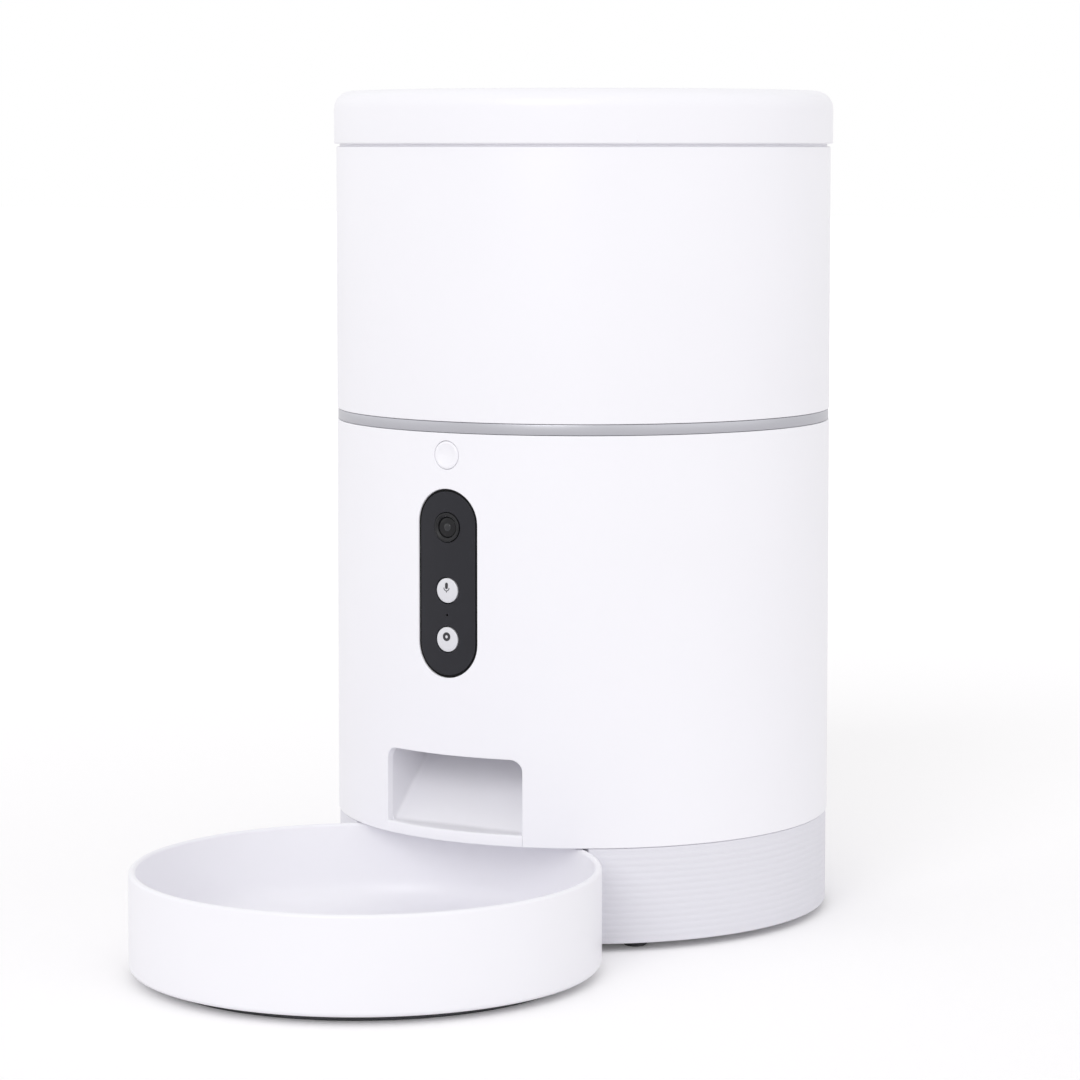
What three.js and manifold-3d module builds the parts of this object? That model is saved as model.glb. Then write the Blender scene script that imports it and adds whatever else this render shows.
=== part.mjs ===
// Automatic pet feeder with a camera, in millimetres, +Z up, its front towards -Y, standing on Z = 0.
// A round dish tucks under the front of a round tower: grey base, white lower body with the gearbox
// and the camera panel, a bright band, a food tank that lifts off, and a lid.
import * as THREE from "three";
import { mergeVertices } from "three/addons/utils/BufferGeometryUtils.js";
import Module from "manifold-3d";

const wasm = await Module();
wasm.setup();

// Sides of round pieces, by their size
const roundSides = 48;
const middleSides = 24;
const smallSides = 12;
const boreSides = 6;
const arcSteps = 4;
const edgeSteps = 2;
const lipSteps = 3;

// Gaps shared by the whole object
const clearance = 0.3;
const runningGap = 0.5;
const overrun = 2;
const mergeDistance = 0.001;

// Tower: radius, wall, and the heights of its layers from the table up
const bodyRadius = 95;
const shellWall = 2.5;
const footHeight = 3;
const baseHeight = 35.3;
const shadowGap = 0.4;
const shellHeight = 150.7;
const bandHeight = 3.9;
const tankHeight = 100.1;
const lidGap = 1;
const lidHeight = 20.1;

// Dish: its radius, how far its centre stands before the tower's, and its walls
const bowlRadius = 84.4;
const bowlReach = 146.8;
const bowlLift = 2.9;
const bowlRimDrop = 0.5;
const bowlWall = 2.6;
const bowlFloor = 3;
const bowlEdgeRadius = 2;
const bowlFillet = 12;
const bowlTaper = 2;
const bowlGap = 1.6;
const gripRingInset = 8.4;
const gripRingWidth = 6;
const gripGroove = 1.2;

// Lid: outer cover, inner liner with its plug and seal
const lidWall = 2.5;
const lidEdgeRadius = 6.8;
const lidSlip = 0.6;
const coverRibRadius = 60;
const coverRibWidth = 1.5;
const linerThickness = 2;
const plugDepth = 8;
const plugWall = 2.5;
const plugGap = 1.6;
const sealHeight = 3.4;
const sealSetback = 2;
const sealGroove = 1;

// Desiccant box under the lid
const desiccantRadius = 34;
const desiccantWall = 1.6;
const desiccantHeight = 17;
const desiccantCoverThickness = 1.8;
const desiccantSpigotHeight = 3.5;
const desiccantSpigotWall = 1.4;
const desiccantSlotCount = 8;
const desiccantSlotLength = 14;
const desiccantSlotWidth = 2.4;
const desiccantSlotRadius = 19;
const desiccantSlotStart = THREE.MathUtils.degToRad(22.5);
const desiccantGripLength = 22;
const desiccantGripWidth = 4;
const desiccantGripHeight = 4;
const cartridgeHeight = 10;

// Tank: its lip inside the lid, and the hopper in it with the cup that the rotor turns in
const lipWall = 1.2;
const lipHeight = 8;
const hopperWall = 2.2;
const hopperRimHeight = 3;
const hopperLedgeHeight = 2;
const hopperLedgeWidth = 2.4;
const cupInset = 33;
const cupWall = 2;
const cupDepth = 40.4;
const cupHeight = 46.5;
const funnelSlopeShare = 1;
const bossRadius = 4;
const bossHeight = 16;
const bossSink = 0.6;
const tankBossCount = 3;
const floorThickness = 2.5;
const dropInner = 26;
const dropRim = 4;
const dropHalfAngle = THREE.MathUtils.degToRad(28);
const floorHole = 7;
const baffleThickness = 2;
const baffleInner = 18;
const baffleHalfAngle = THREE.MathUtils.degToRad(36);
const baffleTabHeight = 10;
const baffleTabWidth = 4;

// Portion rotor and the stirrer on top of it
const vaneCount = 6;
const vaneHeight = 26;
const vaneThickness = 3;
const vaneTipGap = 1.4;
const vaneStart = THREE.MathUtils.degToRad(30);
const rotorHubRadius = 14;
const rotorHubRise = 4;
const socketDepth = 12;
const stirrerHubRadius = 12;
const stirrerHubHeight = 4;
const fingerCount = 3;
const fingerLength = 26;
const fingerThickness = 5;
const fingerLean = THREE.MathUtils.degToRad(38);

// Gearbox and motor
const outputPitchRadius = 18;
const pressureAngle = THREE.MathUtils.degToRad(20);
const addendumShare = 0.9;
const dedendumShare = 1.2;
const outputTeeth = 36;
const idlerTeeth = 36;
const pinionTeeth = 12;
const gearBacklash = 0.45;
const gearWidth = 6;
const gearFloorGap = 1.4;
const gearLayerGap = 1.5;
const gearHeadSpace = 3.5;
const gearboxWall = 2;
const gearboxGap = 0.8;
const gearboxHeadroom = 2.9;
const gearboxLugRadius = 4;
const gearboxLugReach = 2.2;
const outputShaftRadius = 5.5;
const outputStubRadius = 4;
const dogRadius = 5.2;
const dogSides = 6;
const dogPlay = 0.6;
const idlerAxleRadius = 2;
const idlerPlay = 0.5;
const idlerHubRadius = 4;
const motorRadius = 12.2;
const motorLength = 31;
const motorBossRadius = 3;
const motorBossHeight = 1.7;
const motorShaftRadius = 1.5;
const motorTailRadius = 5;
const motorTailLength = 2;

// Chassis plate inside the lower body
const chassisThickness = 2.5;
const ledgeWidth = 2.6;
const ledgeHeight = 2.5;
const pegRadius = 2.5;
const pegHeight = 5;
const pegInset = 4;

// Food chute and its mouth
const mouthHalfWidth = 29.9;
const mouthHeight = 31.8;
const mouthCorner = 7;
const chuteWall = 1.8;
const chuteDrop = 42;
const chuteHoodDrop = 55;
const hoodReach = 30;
const apronLength = 8;
const chuteFlange = 4;
const chuteFlangeThickness = 2;

// Seat ring that carries the tank, and the bright band round it
const seatRingThickness = 2.5;
const seatRimWidth = 1.4;
const seatRimOverlap = 1.3;
const bandInset = 0.3;

// Camera panel: stadium fascia, lens, buttons, microphone
const fasciaWidth = 24.2;
const fasciaHeight = 69.2;
const fasciaDrop = 55.3;
const fasciaInset = 0.4;
const fasciaLap = 1.6;
const fasciaFlangeThickness = 1.6;
const lensDrop = 34.6;
const lensRingRadius = 5.4;
const lensRadius = 3.6;
const lensRimWidth = 0.9;
const lensThickness = 1.2;
const lensProud = 0.3;
const recordDrop = 57.9;
const microphoneDrop = 67;
const playDrop = 76;
const feedDrop = 8;
const buttonRadius = 4.9;
const feedButtonRadius = 5.15;
const buttonFlange = 1.1;
const buttonFlangeThickness = 1.2;
const buttonChamfer = 0.4;
const buttonProud = 0.3;
const buttonTravel = 0.8;
const buttonStemRadius = 1.5;
const microphoneRadius = 2.2;
const microphoneHole = 0.7;
const fasciaPostRadius = 1.6;
const fasciaPostSink = 0.9;
const boardDepth = 13;
const boardThickness = 1.6;
const boardWidth = 20;
const boardMargin = 3;
const boardTopMargin = 4;
const switchSize = 6;
const switchHeight = 3.5;
const cameraSize = 14;
const cameraBodyDepth = 3.7;
const cameraBarrelRadius = 4.5;
const bayMargin = 1.4;

// Main board and speaker
const mainBoardLength = 50;
const mainBoardWidth = 30;
const mainBoardStart = 14;
const mainBoardSide = 33;
const chipSize = 14;
const chipHeight = 2.4;
const plugHeight = 7;
const plugLength = 9;
const plugWidth = 6;
const speakerRadius = 18;
const speakerDepth = 9;
const speakerHeight = 84;
const speakerStandoff = 8.2;
const speakerMagnetRadius = 9;
const speakerMagnetDepth = 5;
const speakerBossWall = 2;
const grilleSlotCount = 7;
const grilleSlotPitch = 4.4;
const grilleSlotWidth = 1.8;

// Base, bottom plate, feet and screws
const baseInset = 0.4;
const recessWall = 2;
const recessRoof = 1.4;
const recessRoofGap = 0.8;
const plateThickness = 4;
const ledgeRing = 1.7;
const ledgeRingHeight = 2;
const footRadius = 6;
const footPocket = 1;
const footTaper = 0.8;
const footInset = 9;
const frontFootToRecess = 18.3;
const frontFootToChute = 20;
const rearFootAngle = THREE.MathUtils.degToRad(62);
const postRadius = 4;
const postInset = 9;
const postHeight = 50;
const frontPostToRecess = 7.5;
const frontPostToChute = 8;
const rearPostAngle = THREE.MathUtils.degToRad(50);
const postRibWidth = 3;
const screwHeadRadius = 3.2;
const screwHeadHeight = 1.8;
const screwShankRadius = 1.3;
const screwCrownShare = 0.8;
const screwLength = 13;
const counterboreDepth = 2.2;

// Battery bay: three large round cells side by side
const cellCount = 3;
const cellRadius = 16.6;
const cellLength = 58;
const cellCapRadius = 4.5;
const cellCapHeight = 1.5;
const cellPitchGap = 1.2;
const contactThickness = 0.8;
const contactRoom = 5;
const contactSpringRadius = 5;
const contactHeight = 20;
const batteryWall = 1.8;
const batteryToRecess = 22.8;
const doorThickness = 1.9;
const doorRebate = 2.5;
const doorTravel = 8;
const doorGripCount = 4;
const doorGripLength = 24;
const doorGripWidth = 1.2;
const doorGripDepth = 0.6;
const doorGripPitch = 3;
const doorLap = 4;

// Power inlet at the back of the base
const inletHeight = 20;
const inletNoseRadius = 4.3;
const inletBoreRadius = 3;
const inletPinRadius = 1;
const inletDepth = 9;
const inletBodySize = 11;
const inletBodyDepth = 13;

// Heights that follow from the sizes above
const baseTop = footHeight + baseHeight;
const shellBottom = baseTop + shadowGap;
const shellTop = shellBottom + shellHeight;
const bandBottom = shellTop + clearance;
const bandTop = bandBottom + bandHeight;
const tankBottom = bandTop + clearance;
const tankTop = tankBottom + tankHeight;
const lipTop = tankTop + lipHeight;
const lidBottom = tankTop + lidGap;
const lidTop = lidBottom + lidHeight;
const cupBottom = shellTop - cupDepth;
const funnelBottom = cupBottom + cupHeight;
const floorBottom = cupBottom - clearance - floorThickness;
const floorTop = cupBottom - clearance + floorThickness;
const gearboxTop = floorBottom - gearboxHeadroom;
const gearboxRim = gearboxTop - gearboxWall - clearance;
const upperGearTop = gearboxRim - gearHeadSpace;
const upperGearBottom = upperGearTop - gearWidth;
const lowerGearTop = upperGearBottom - gearLayerGap;
const lowerGearBottom = lowerGearTop - gearWidth;
const gearboxFloor = lowerGearBottom - gearFloorGap;
const gearboxBottom = gearboxFloor - gearboxWall;
const chassisTop = gearboxBottom - clearance;
const chassisBottom = chassisTop - chassisThickness;
const ledgeTop = chassisBottom - clearance;
const vaneBottom = floorTop + 2 * clearance;
const vaneTop = vaneBottom + vaneHeight;
const baffleBottom = vaneTop + runningGap;
const baffleTop = baffleBottom + baffleThickness;
const hubTop = Math.max(vaneTop + rotorHubRise, baffleTop + runningGap);

// Radii that follow
const shellInner = bodyRadius - shellWall;
const tankInner = bodyRadius - shellWall;
const lipRadius = tankInner + lipWall;
const lidInner = lipRadius + lidSlip;
const lidRadius = lidInner + lidWall;
const plugRadius = tankInner - plugGap;
const baseRadius = bodyRadius - baseInset;
const baseInner = baseRadius - shellWall;
const recessRadius = bowlRadius + bowlGap;
const recessOuter = recessRadius + recessWall;
const cupRadius = bodyRadius - cupInset;
const dropOuter = cupRadius - dropRim;
const insideFit = shellInner - clearance;

// The origin lies under the middle of the whole object
const towerY = (bowlReach + bowlRadius - lidRadius) / 2;
const bowlY = towerY - bowlReach;

// Tooth size that all the gears share
const gearModule = (2 * outputPitchRadius) / outputTeeth;

// Finishes
const finish = (color, roughness, metalness = 0) =>
  new THREE.MeshStandardMaterial({ color, roughness, metalness });
const whiteShell = finish(0xf4f3f7, 0.42);
const greyBase = finish(0xd9d9df, 0.55);
const brightBand = finish(0xb6b6ba, 0.32, 0.9);
const blackGloss = finish(0x26262a, 0.16);
const buttonPearl = finish(0xd8d8da, 0.35, 0.2);
const lensGlass = finish(0x10131a, 0.05);
const innerPlastic = finish(0xe6e6ea, 0.5);
const greyPlastic = finish(0x8f9297, 0.55);
const nylonGear = finish(0xe9e4d2, 0.45);
const steel = finish(0xb9bbbe, 0.3, 1);
const rubberDark = finish(0x4a4b4e, 0.85);
const siliconeClear = finish(0xe4e6e8, 0.6);
const circuitGreen = finish(0x1f5a3a, 0.5);
const cellJacket = finish(0x5d6168, 0.4, 0.3);

// Turns a geometry into a solid whose corners are shared and whose faces point out.
function solidOf(geometry) {
  const bare = new THREE.BufferGeometry();
  bare.setAttribute("position", geometry.getAttribute("position"));
  if (geometry.index) bare.setIndex(geometry.index);
  const merged = mergeVertices(bare, mergeDistance);
  const corners = merged.index.array;
  const faces = [];
  for (let i = 0; i < corners.length; i += 3) {
    const [a, b, c] = corners.slice(i, i + 3);
    if (a !== b && b !== c && c !== a) faces.push(a, b, c);
  }
  const build = (triVerts) =>
    new wasm.Manifold(
      new wasm.Mesh({
        numProp: 3,
        vertProperties: merged.attributes.position.array,
        triVerts: new Uint32Array(triVerts),
      }),
    );
  const made = build(faces);
  return made.volume() < 0 ? build(faces.reverse()) : made;
}

function geometryOf(solid) {
  const mesh = solid.getMesh();
  const geometry = new THREE.BufferGeometry();
  const places = new Float32Array(mesh.vertProperties);
  geometry.setAttribute("position", new THREE.BufferAttribute(places, mesh.numProp));
  geometry.setIndex(new THREE.BufferAttribute(new Uint32Array(mesh.triVerts), 1));
  return geometry;
}

const joined = (first, ...others) =>
  geometryOf(others.reduce((sum, other) => sum.add(solidOf(other)), solidOf(first)));
const cut = (first, ...others) =>
  geometryOf(others.reduce((sum, other) => sum.subtract(solidOf(other)), solidOf(first)));
const kept = (first, other) => geometryOf(solidOf(first).intersect(solidOf(other)));

// Outlines are lists of [x, y] corners.
function arc(x, y, radius, from, to, steps = arcSteps) {
  return Array.from({ length: steps + 1 }, (_, i) => {
    const angle = from + ((to - from) * i) / steps;
    return [x + radius * Math.cos(angle), y + radius * Math.sin(angle)];
  });
}

const quarter = Math.PI / 2;
const fullTurn = Math.PI * 2;

const box = (x0, y0, x1, y1) => [[x0, y0], [x1, y0], [x1, y1], [x0, y1]];
const circle = (radius, sides = smallSides, x = 0, y = 0) =>
  arc(x, y, radius, 0, fullTurn, sides).slice(0, -1);

// An upright slot with round ends
const stadium = (width, height, steps = arcSteps * 2) => [
  ...arc(0, (height - width) / 2, width / 2, 0, 2 * quarter, steps),
  ...arc(0, (width - height) / 2, width / 2, 2 * quarter, 4 * quarter, steps),
];

function roundedBox(x0, y0, x1, y1, radius) {
  const r = Math.min(radius, (x1 - x0) / 2, (y1 - y0) / 2);
  return [
    ...arc(x1 - r, y1 - r, r, 0, quarter),
    ...arc(x0 + r, y1 - r, r, quarter, 2 * quarter),
    ...arc(x0 + r, y0 + r, r, 2 * quarter, 3 * quarter),
    ...arc(x1 - r, y0 + r, r, 3 * quarter, 4 * quarter),
  ];
}

// A ring sector centred on the front, -Y
const frontSector = (inner, outer, halfAngle) => [
  ...arc(0, 0, outer, -quarter - halfAngle, -quarter + halfAngle, arcSteps * 2),
  ...arc(0, 0, inner, -quarter + halfAngle, -quarter - halfAngle, arcSteps * 2),
];

function extruded(outline, depth) {
  const shape = new THREE.Shape(outline.map(([x, y]) => new THREE.Vector2(x, y)));
  return new THREE.ExtrudeGeometry(shape, { depth, bevelEnabled: false, steps: 1 });
}

// Prisms whose outline is drawn in XY, XZ or YZ
const prismZ = (outline, z0, z1) => extruded(outline, z1 - z0).translate(0, 0, z0);
const prismY = (outline, y0, y1) =>
  extruded(outline, y1 - y0).rotateX(quarter).translate(0, y1, 0);
const prismX = (outline, x0, x1) => {
  const turn = new THREE.Matrix4().makeBasis(
    new THREE.Vector3(0, 1, 0),
    new THREE.Vector3(0, 0, 1),
    new THREE.Vector3(1, 0, 0),
  );
  return extruded(outline, x1 - x0).applyMatrix4(turn).translate(x0, 0, 0);
};

// Turned pieces: the profile lists [radius, height]; off the axis it closes on itself.
function turned(profile, sides = roundSides) {
  const points = profile.map(([r, z]) => new THREE.Vector2(r, z));
  if (profile[0][0] > 0) points.push(points[0].clone());
  return new THREE.LatheGeometry(points, sides).rotateX(quarter);
}
const disc = (radius, z0, z1, sides = roundSides) =>
  turned([[0, z0], [radius, z0], [radius, z1], [0, z1]], sides);
const ring = (inner, outer, z0, z1, sides = roundSides) =>
  turned([[inner, z0], [outer, z0], [outer, z1], [inner, z1]], sides);

// A turned piece that looks out of the front: its heights count forward from the tower's axis.
const facingFront = (geometry) => geometry.rotateX(quarter);

// Screw that points up from its head's seat at height zero
const screwGeometry = (length = screwLength) =>
  turned(
    [
      [0, -screwHeadHeight],
      [screwHeadRadius * screwCrownShare, -screwHeadHeight],
      [screwHeadRadius, -screwHeadHeight / 2],
      [screwHeadRadius, 0],
      [screwShankRadius, 0],
      [screwShankRadius, length - screwShankRadius],
      [0, length],
    ],
    smallSides,
  );
const pilotRadius = screwShankRadius + clearance;

// Spur gear outline with straight flanks and a tooth centred on the angle given
function gearOutline(teeth, toothAngle) {
  const pitchRadius = (teeth * gearModule) / 2;
  const flank = Math.tan(pressureAngle);
  const addendum = gearModule * addendumShare;
  const dedendum = gearModule * dedendumShare;
  const half = (Math.PI * gearModule) / 4 - gearBacklash / 2;
  const points = [];
  for (let i = 0; i < teeth; i += 1) {
    const centre = toothAngle + (fullTurn * i) / teeth;
    const corners = [
      [pitchRadius - dedendum, -(half + dedendum * flank)],
      [pitchRadius + addendum, -(half - addendum * flank)],
      [pitchRadius + addendum, half - addendum * flank],
      [pitchRadius - dedendum, half + dedendum * flank],
    ];
    for (const [radius, offset] of corners) {
      const angle = centre + offset / radius;
      points.push([radius * Math.cos(angle), radius * Math.sin(angle)]);
    }
  }
  return points;
}
const tipRadius = (teeth) => (teeth / 2 + addendumShare) * gearModule;

// Scene graph: the dish and the tower stand side by side
const feeder = new THREE.Group();
const tower = new THREE.Group();
const dish = new THREE.Group();
tower.position.y = towerY;
dish.position.y = bowlY;
feeder.add(tower, dish);

function add(parent, name, geometry, material, place = [0, 0, 0], turnZ = 0) {
  const mesh = new THREE.Mesh(geometry, material);
  mesh.name = name;
  mesh.position.set(...place);
  mesh.rotation.z = turnZ;
  parent.add(mesh);
  return mesh;
}

const around = (count, radius, start) =>
  Array.from({ length: count }, (_, i) => {
    const angle = start + (fullTurn * i) / count;
    return { angle, x: radius * Math.cos(angle), y: radius * Math.sin(angle) };
  });

// Dish and its rubber ring
function makeDish() {
  const bottom = bowlLift;
  const rim = shellBottom - bowlRimDrop;
  const inner = bowlRadius - bowlWall;
  const floorInner = inner - bowlTaper;
  const floor = bottom + bowlFloor;
  const fillet = Math.min(bowlFillet, (rim - floor) / 2);
  const lip = bowlWall / 2;
  const gripRingRadius = bowlRadius - gripRingInset;
  const grooveOut = gripRingRadius + clearance;
  const grooveIn = gripRingRadius - gripRingWidth - clearance;
  const bowl = turned([
    [0, bottom],
    [grooveIn, bottom],
    [grooveIn, bottom + gripGroove],
    [grooveOut, bottom + gripGroove],
    [grooveOut, bottom],
    ...arc(bowlRadius - bowlEdgeRadius, bottom + bowlEdgeRadius, bowlEdgeRadius, -quarter, 0, edgeSteps),
    ...arc(bowlRadius - lip, rim - lip, lip, 0, 2 * quarter, lipSteps),
    ...arc(floorInner - fillet, floor + fillet, fillet, 0, -quarter, lipSteps),
    [0, floor],
  ]);
  add(dish, "food_bowl", bowl, whiteShell);
  const grip = ring(gripRingRadius - gripRingWidth, gripRingRadius, 0, bottom + gripGroove - clearance);
  add(dish, "bowl_grip_ring", grip, rubberDark);
}

// Lid: cover, liner, seal and the desiccant box that hangs under the liner
function makeLid() {
  const ceiling = lidTop - lidWall;
  const linerBottom = lipTop + clearance;
  const linerTop = linerBottom + linerThickness;
  const edge = Math.min(lidEdgeRadius, lidHeight - lidWall);
  const innerEdge = Math.max(edge - lidWall, lidWall / 2);
  const ribIn = coverRibRadius;
  const ribOut = coverRibRadius + coverRibWidth;
  const cover = turned([
    [0, ceiling],
    [ribIn, ceiling],
    [ribIn, linerTop + clearance],
    [ribOut, linerTop + clearance],
    [ribOut, ceiling],
    ...arc(lidInner - innerEdge, ceiling - innerEdge, innerEdge, quarter, 0, edgeSteps),
    [lidInner, lidBottom],
    [lidRadius, lidBottom],
    ...arc(lidRadius - edge, lidTop - edge, edge, 0, quarter, arcSteps),
    [0, lidTop],
  ]);
  add(tower, "lid_cover", cover, whiteShell);

  const plugBottom = tankTop - plugDepth;
  const grooveBottom = plugBottom + sealSetback;
  const grooveTop = grooveBottom + sealHeight;
  const liner = turned([
    [0, linerBottom],
    [plugRadius - plugWall, linerBottom],
    [plugRadius - plugWall, plugBottom],
    [plugRadius, plugBottom],
    [plugRadius, grooveBottom],
    [plugRadius - sealGroove, grooveBottom],
    [plugRadius - sealGroove, grooveTop],
    [plugRadius, grooveTop],
    [plugRadius, linerBottom],
    [lidInner - clearance, linerBottom],
    [lidInner - clearance, linerTop],
    [0, linerTop],
  ]);
  add(tower, "lid_liner", liner, innerPlastic);

  const seal = turned([
    [plugRadius - sealGroove + clearance, grooveBottom + clearance],
    [tankInner - clearance, grooveBottom + sealHeight / 2],
    [plugRadius - sealGroove + clearance, grooveTop - clearance],
  ]);
  add(tower, "lid_seal", seal, siliconeClear);

  const boxTop = linerBottom - clearance;
  const boxBottom = boxTop - desiccantHeight;
  const boxInner = desiccantRadius - desiccantWall;
  const desiccantBox = turned(
    [
      [0, boxTop - desiccantWall],
      [boxInner, boxTop - desiccantWall],
      [boxInner, boxBottom],
      [desiccantRadius, boxBottom],
      [desiccantRadius, boxTop],
      [0, boxTop],
    ],
    middleSides,
  );
  add(tower, "desiccant_box", desiccantBox, innerPlastic);

  const coverTop = boxBottom - clearance;
  const coverBottom = coverTop - desiccantCoverThickness;
  const spigotOut = boxInner - runningGap;
  const spigotIn = spigotOut - desiccantSpigotWall;
  const slot = box(
    desiccantSlotRadius - desiccantSlotLength / 2,
    -desiccantSlotWidth / 2,
    desiccantSlotRadius + desiccantSlotLength / 2,
    desiccantSlotWidth / 2,
  );
  const slots = around(desiccantSlotCount, 0, desiccantSlotStart).map(({ angle }) =>
    prismZ(slot, coverBottom - overrun, coverTop + overrun).rotateZ(angle),
  );
  const gripX = desiccantGripLength / 2;
  const gripY = desiccantGripWidth / 2;
  const desiccantCover = joined(
    cut(
      turned(
        [
          [0, coverBottom],
          [desiccantRadius, coverBottom],
          [desiccantRadius, coverTop],
          [spigotOut, coverTop],
          [spigotOut, coverTop + desiccantSpigotHeight],
          [spigotIn, coverTop + desiccantSpigotHeight],
          [spigotIn, coverTop],
          [0, coverTop],
        ],
        middleSides,
      ),
      ...slots,
    ),
    prismZ(
      roundedBox(-gripX, -gripY, gripX, gripY, gripY),
      coverBottom - desiccantGripHeight,
      coverTop,
    ),
  );
  add(tower, "desiccant_cover", desiccantCover, greyPlastic);

  const cartridge = disc(
    spigotIn - runningGap,
    coverTop + clearance,
    Math.min(coverTop + cartridgeHeight, boxTop - desiccantWall - clearance),
    middleSides,
  );
  add(tower, "desiccant_cartridge", cartridge, siliconeClear);
}

// Tank, the hopper with its funnel and cup, the floor that closes the cup, and the baffle
const cupOuter = cupRadius + cupWall;
const bossCircle = cupOuter + bossRadius - bossSink;
const tankBosses = around(tankBossCount, bossCircle, quarter);

function makeTank() {
  const slope = funnelSlopeShare;
  const rimOuter = tankInner - clearance;
  const rimInner = rimOuter - hopperWall;
  const rimBottom = funnelBottom + (rimInner - cupRadius) * slope;
  const rimTop = rimBottom + hopperRimHeight;
  const ledgeTop = rimBottom - clearance;
  const ledgeBottom = ledgeTop - hopperLedgeHeight;
  const ledgeInner = tankInner - hopperLedgeWidth;
  const shell = turned([
    [tankInner, tankBottom],
    [bodyRadius, tankBottom],
    [bodyRadius, tankTop],
    [lipRadius, tankTop],
    [lipRadius, lipTop],
    [tankInner, lipTop],
    [tankInner, ledgeTop],
    [ledgeInner, ledgeTop],
    [ledgeInner, ledgeBottom],
    [tankInner, ledgeBottom - hopperLedgeWidth],
  ]);
  add(tower, "food_tank", shell, whiteShell);

  const funnelDrop = hopperWall * Math.hypot(1, slope);
  const underside = (radius) => funnelBottom + (radius - cupRadius) * slope - funnelDrop;
  const underRim = ledgeInner - clearance;
  const hopper = turned([
    [cupRadius, cupBottom],
    [cupOuter, cupBottom],
    [cupOuter, underside(cupOuter)],
    [underRim, underside(underRim)],
    [underRim, rimBottom],
    [rimOuter, rimBottom],
    [rimOuter, rimTop],
    [rimInner, rimTop - hopperWall / 2],
    [rimInner, rimBottom],
    [cupRadius, funnelBottom],
  ]);
  const bosses = tankBosses.map(({ x, y }) =>
    prismZ(circle(bossRadius, smallSides, x, y), cupBottom, cupBottom + bossHeight),
  );
  const pilots = tankBosses.map(({ x, y }) =>
    prismZ(
      circle(pilotRadius, boreSides, x, y),
      cupBottom - overrun,
      cupBottom + bossHeight - overrun,
    ),
  );
  add(tower, "food_hopper", cut(joined(hopper, ...bosses), ...pilots), innerPlastic);

  const plate = turned([
    [0, floorBottom],
    [cupOuter, floorBottom],
    [cupOuter, floorBottom + floorThickness],
    [cupRadius - clearance, floorBottom + floorThickness],
    [cupRadius - clearance, floorTop],
    [0, floorTop],
  ]);
  const lugs = tankBosses.map(({ x, y }) =>
    prismZ(circle(bossRadius, smallSides, x, y), floorBottom, floorBottom + floorThickness),
  );
  const holes = tankBosses.map(({ x, y }) =>
    prismZ(circle(pilotRadius, boreSides, x, y), floorBottom - overrun, floorTop + overrun),
  );
  const floor = cut(
    joined(plate, ...lugs),
    ...holes,
    disc(floorHole, floorBottom - overrun, floorTop + overrun, smallSides),
    prismZ(frontSector(dropInner, dropOuter, dropHalfAngle), floorBottom - overrun, floorTop + overrun),
  );
  add(tower, "tank_floor", floor, innerPlastic);
  tankBosses.forEach(({ x, y }, i) => {
    const place = [x, y, floorBottom - clearance];
    add(tower, `tank_floor_screw_${i + 1}`, screwGeometry(), steel, place);
  });

  const baffleOuter = cupRadius - clearance;
  const tabTop = Math.min(baffleTop + baffleTabHeight, funnelBottom);
  const baffle = joined(
    prismZ(frontSector(baffleInner, baffleOuter, baffleHalfAngle), baffleBottom, baffleTop),
    prismZ(
      frontSector(baffleOuter - baffleTabWidth, baffleOuter, baffleHalfAngle),
      baffleBottom,
      tabTop,
    ),
  );
  const cupSpace = disc(baffleOuter, cupBottom, funnelBottom + overrun);
  add(tower, "portion_baffle", kept(baffle, cupSpace), innerPlastic);
}

// Rotor whose vanes carry the portions round to the drop hole
function makeRotor() {
  const reach = cupRadius - vaneTipGap;
  const vanes = around(vaneCount, 0, vaneStart).map(({ angle }) =>
    prismZ(box(0, -vaneThickness / 2, reach, vaneThickness / 2), vaneBottom, vaneTop).rotateZ(angle),
  );
  const hub = disc(rotorHubRadius, floorTop + clearance, hubTop, smallSides);
  const socket = prismZ(
    circle(dogRadius + dogPlay, dogSides),
    floorTop - overrun,
    floorTop + socketDepth,
  );
  add(tower, "portion_rotor", cut(joined(hub, ...vanes), socket), siliconeClear);

  const fingers = around(fingerCount, 0, 0).map(({ angle }) => {
    const half = fingerThickness / 2;
    const finger = prismX(box(-half, -half, half, half), 0, fingerLength);
    const lift = hubTop + clearance + stirrerHubHeight / 2 + half;
    return finger.rotateY(-fingerLean).translate(half, 0, lift).rotateZ(angle);
  });
  const stirrerTop = hubTop + clearance + stirrerHubHeight;
  const stirrer = joined(
    disc(stirrerHubRadius, hubTop + clearance, stirrerTop, smallSides),
    ...fingers,
  );
  const above = disc(cupRadius, hubTop + clearance, tankTop);
  add(tower, "stirrer", kept(stirrer, above), greyPlastic);
}

// Gearbox: motor pinion, stepped idler and output gear in two layers between case and cover
const idlerY = ((outputTeeth + pinionTeeth) * gearModule) / 2;
const motorY = idlerY + ((idlerTeeth + pinionTeeth) * gearModule) / 2;
const gearRoom = Math.max(tipRadius(outputTeeth), tipRadius(idlerTeeth)) + gearboxGap;
const motorRoom = Math.max(tipRadius(pinionTeeth) + gearboxGap, motorRadius - gearboxWall);

// Outline of the gearbox: wide round the two large gears, narrow at the motor
function gearboxSpace(extra, z0, z1) {
  const span = (radius, y0, y1) =>
    prismZ(
      [
        ...arc(0, y1, radius, 0, 2 * quarter, arcSteps * 2),
        ...arc(0, y0, radius, 2 * quarter, 4 * quarter, arcSteps * 2),
      ],
      z0,
      z1,
    );
  return joined(span(gearRoom + extra, 0, idlerY), span(motorRoom + extra, idlerY, motorY));
}

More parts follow.
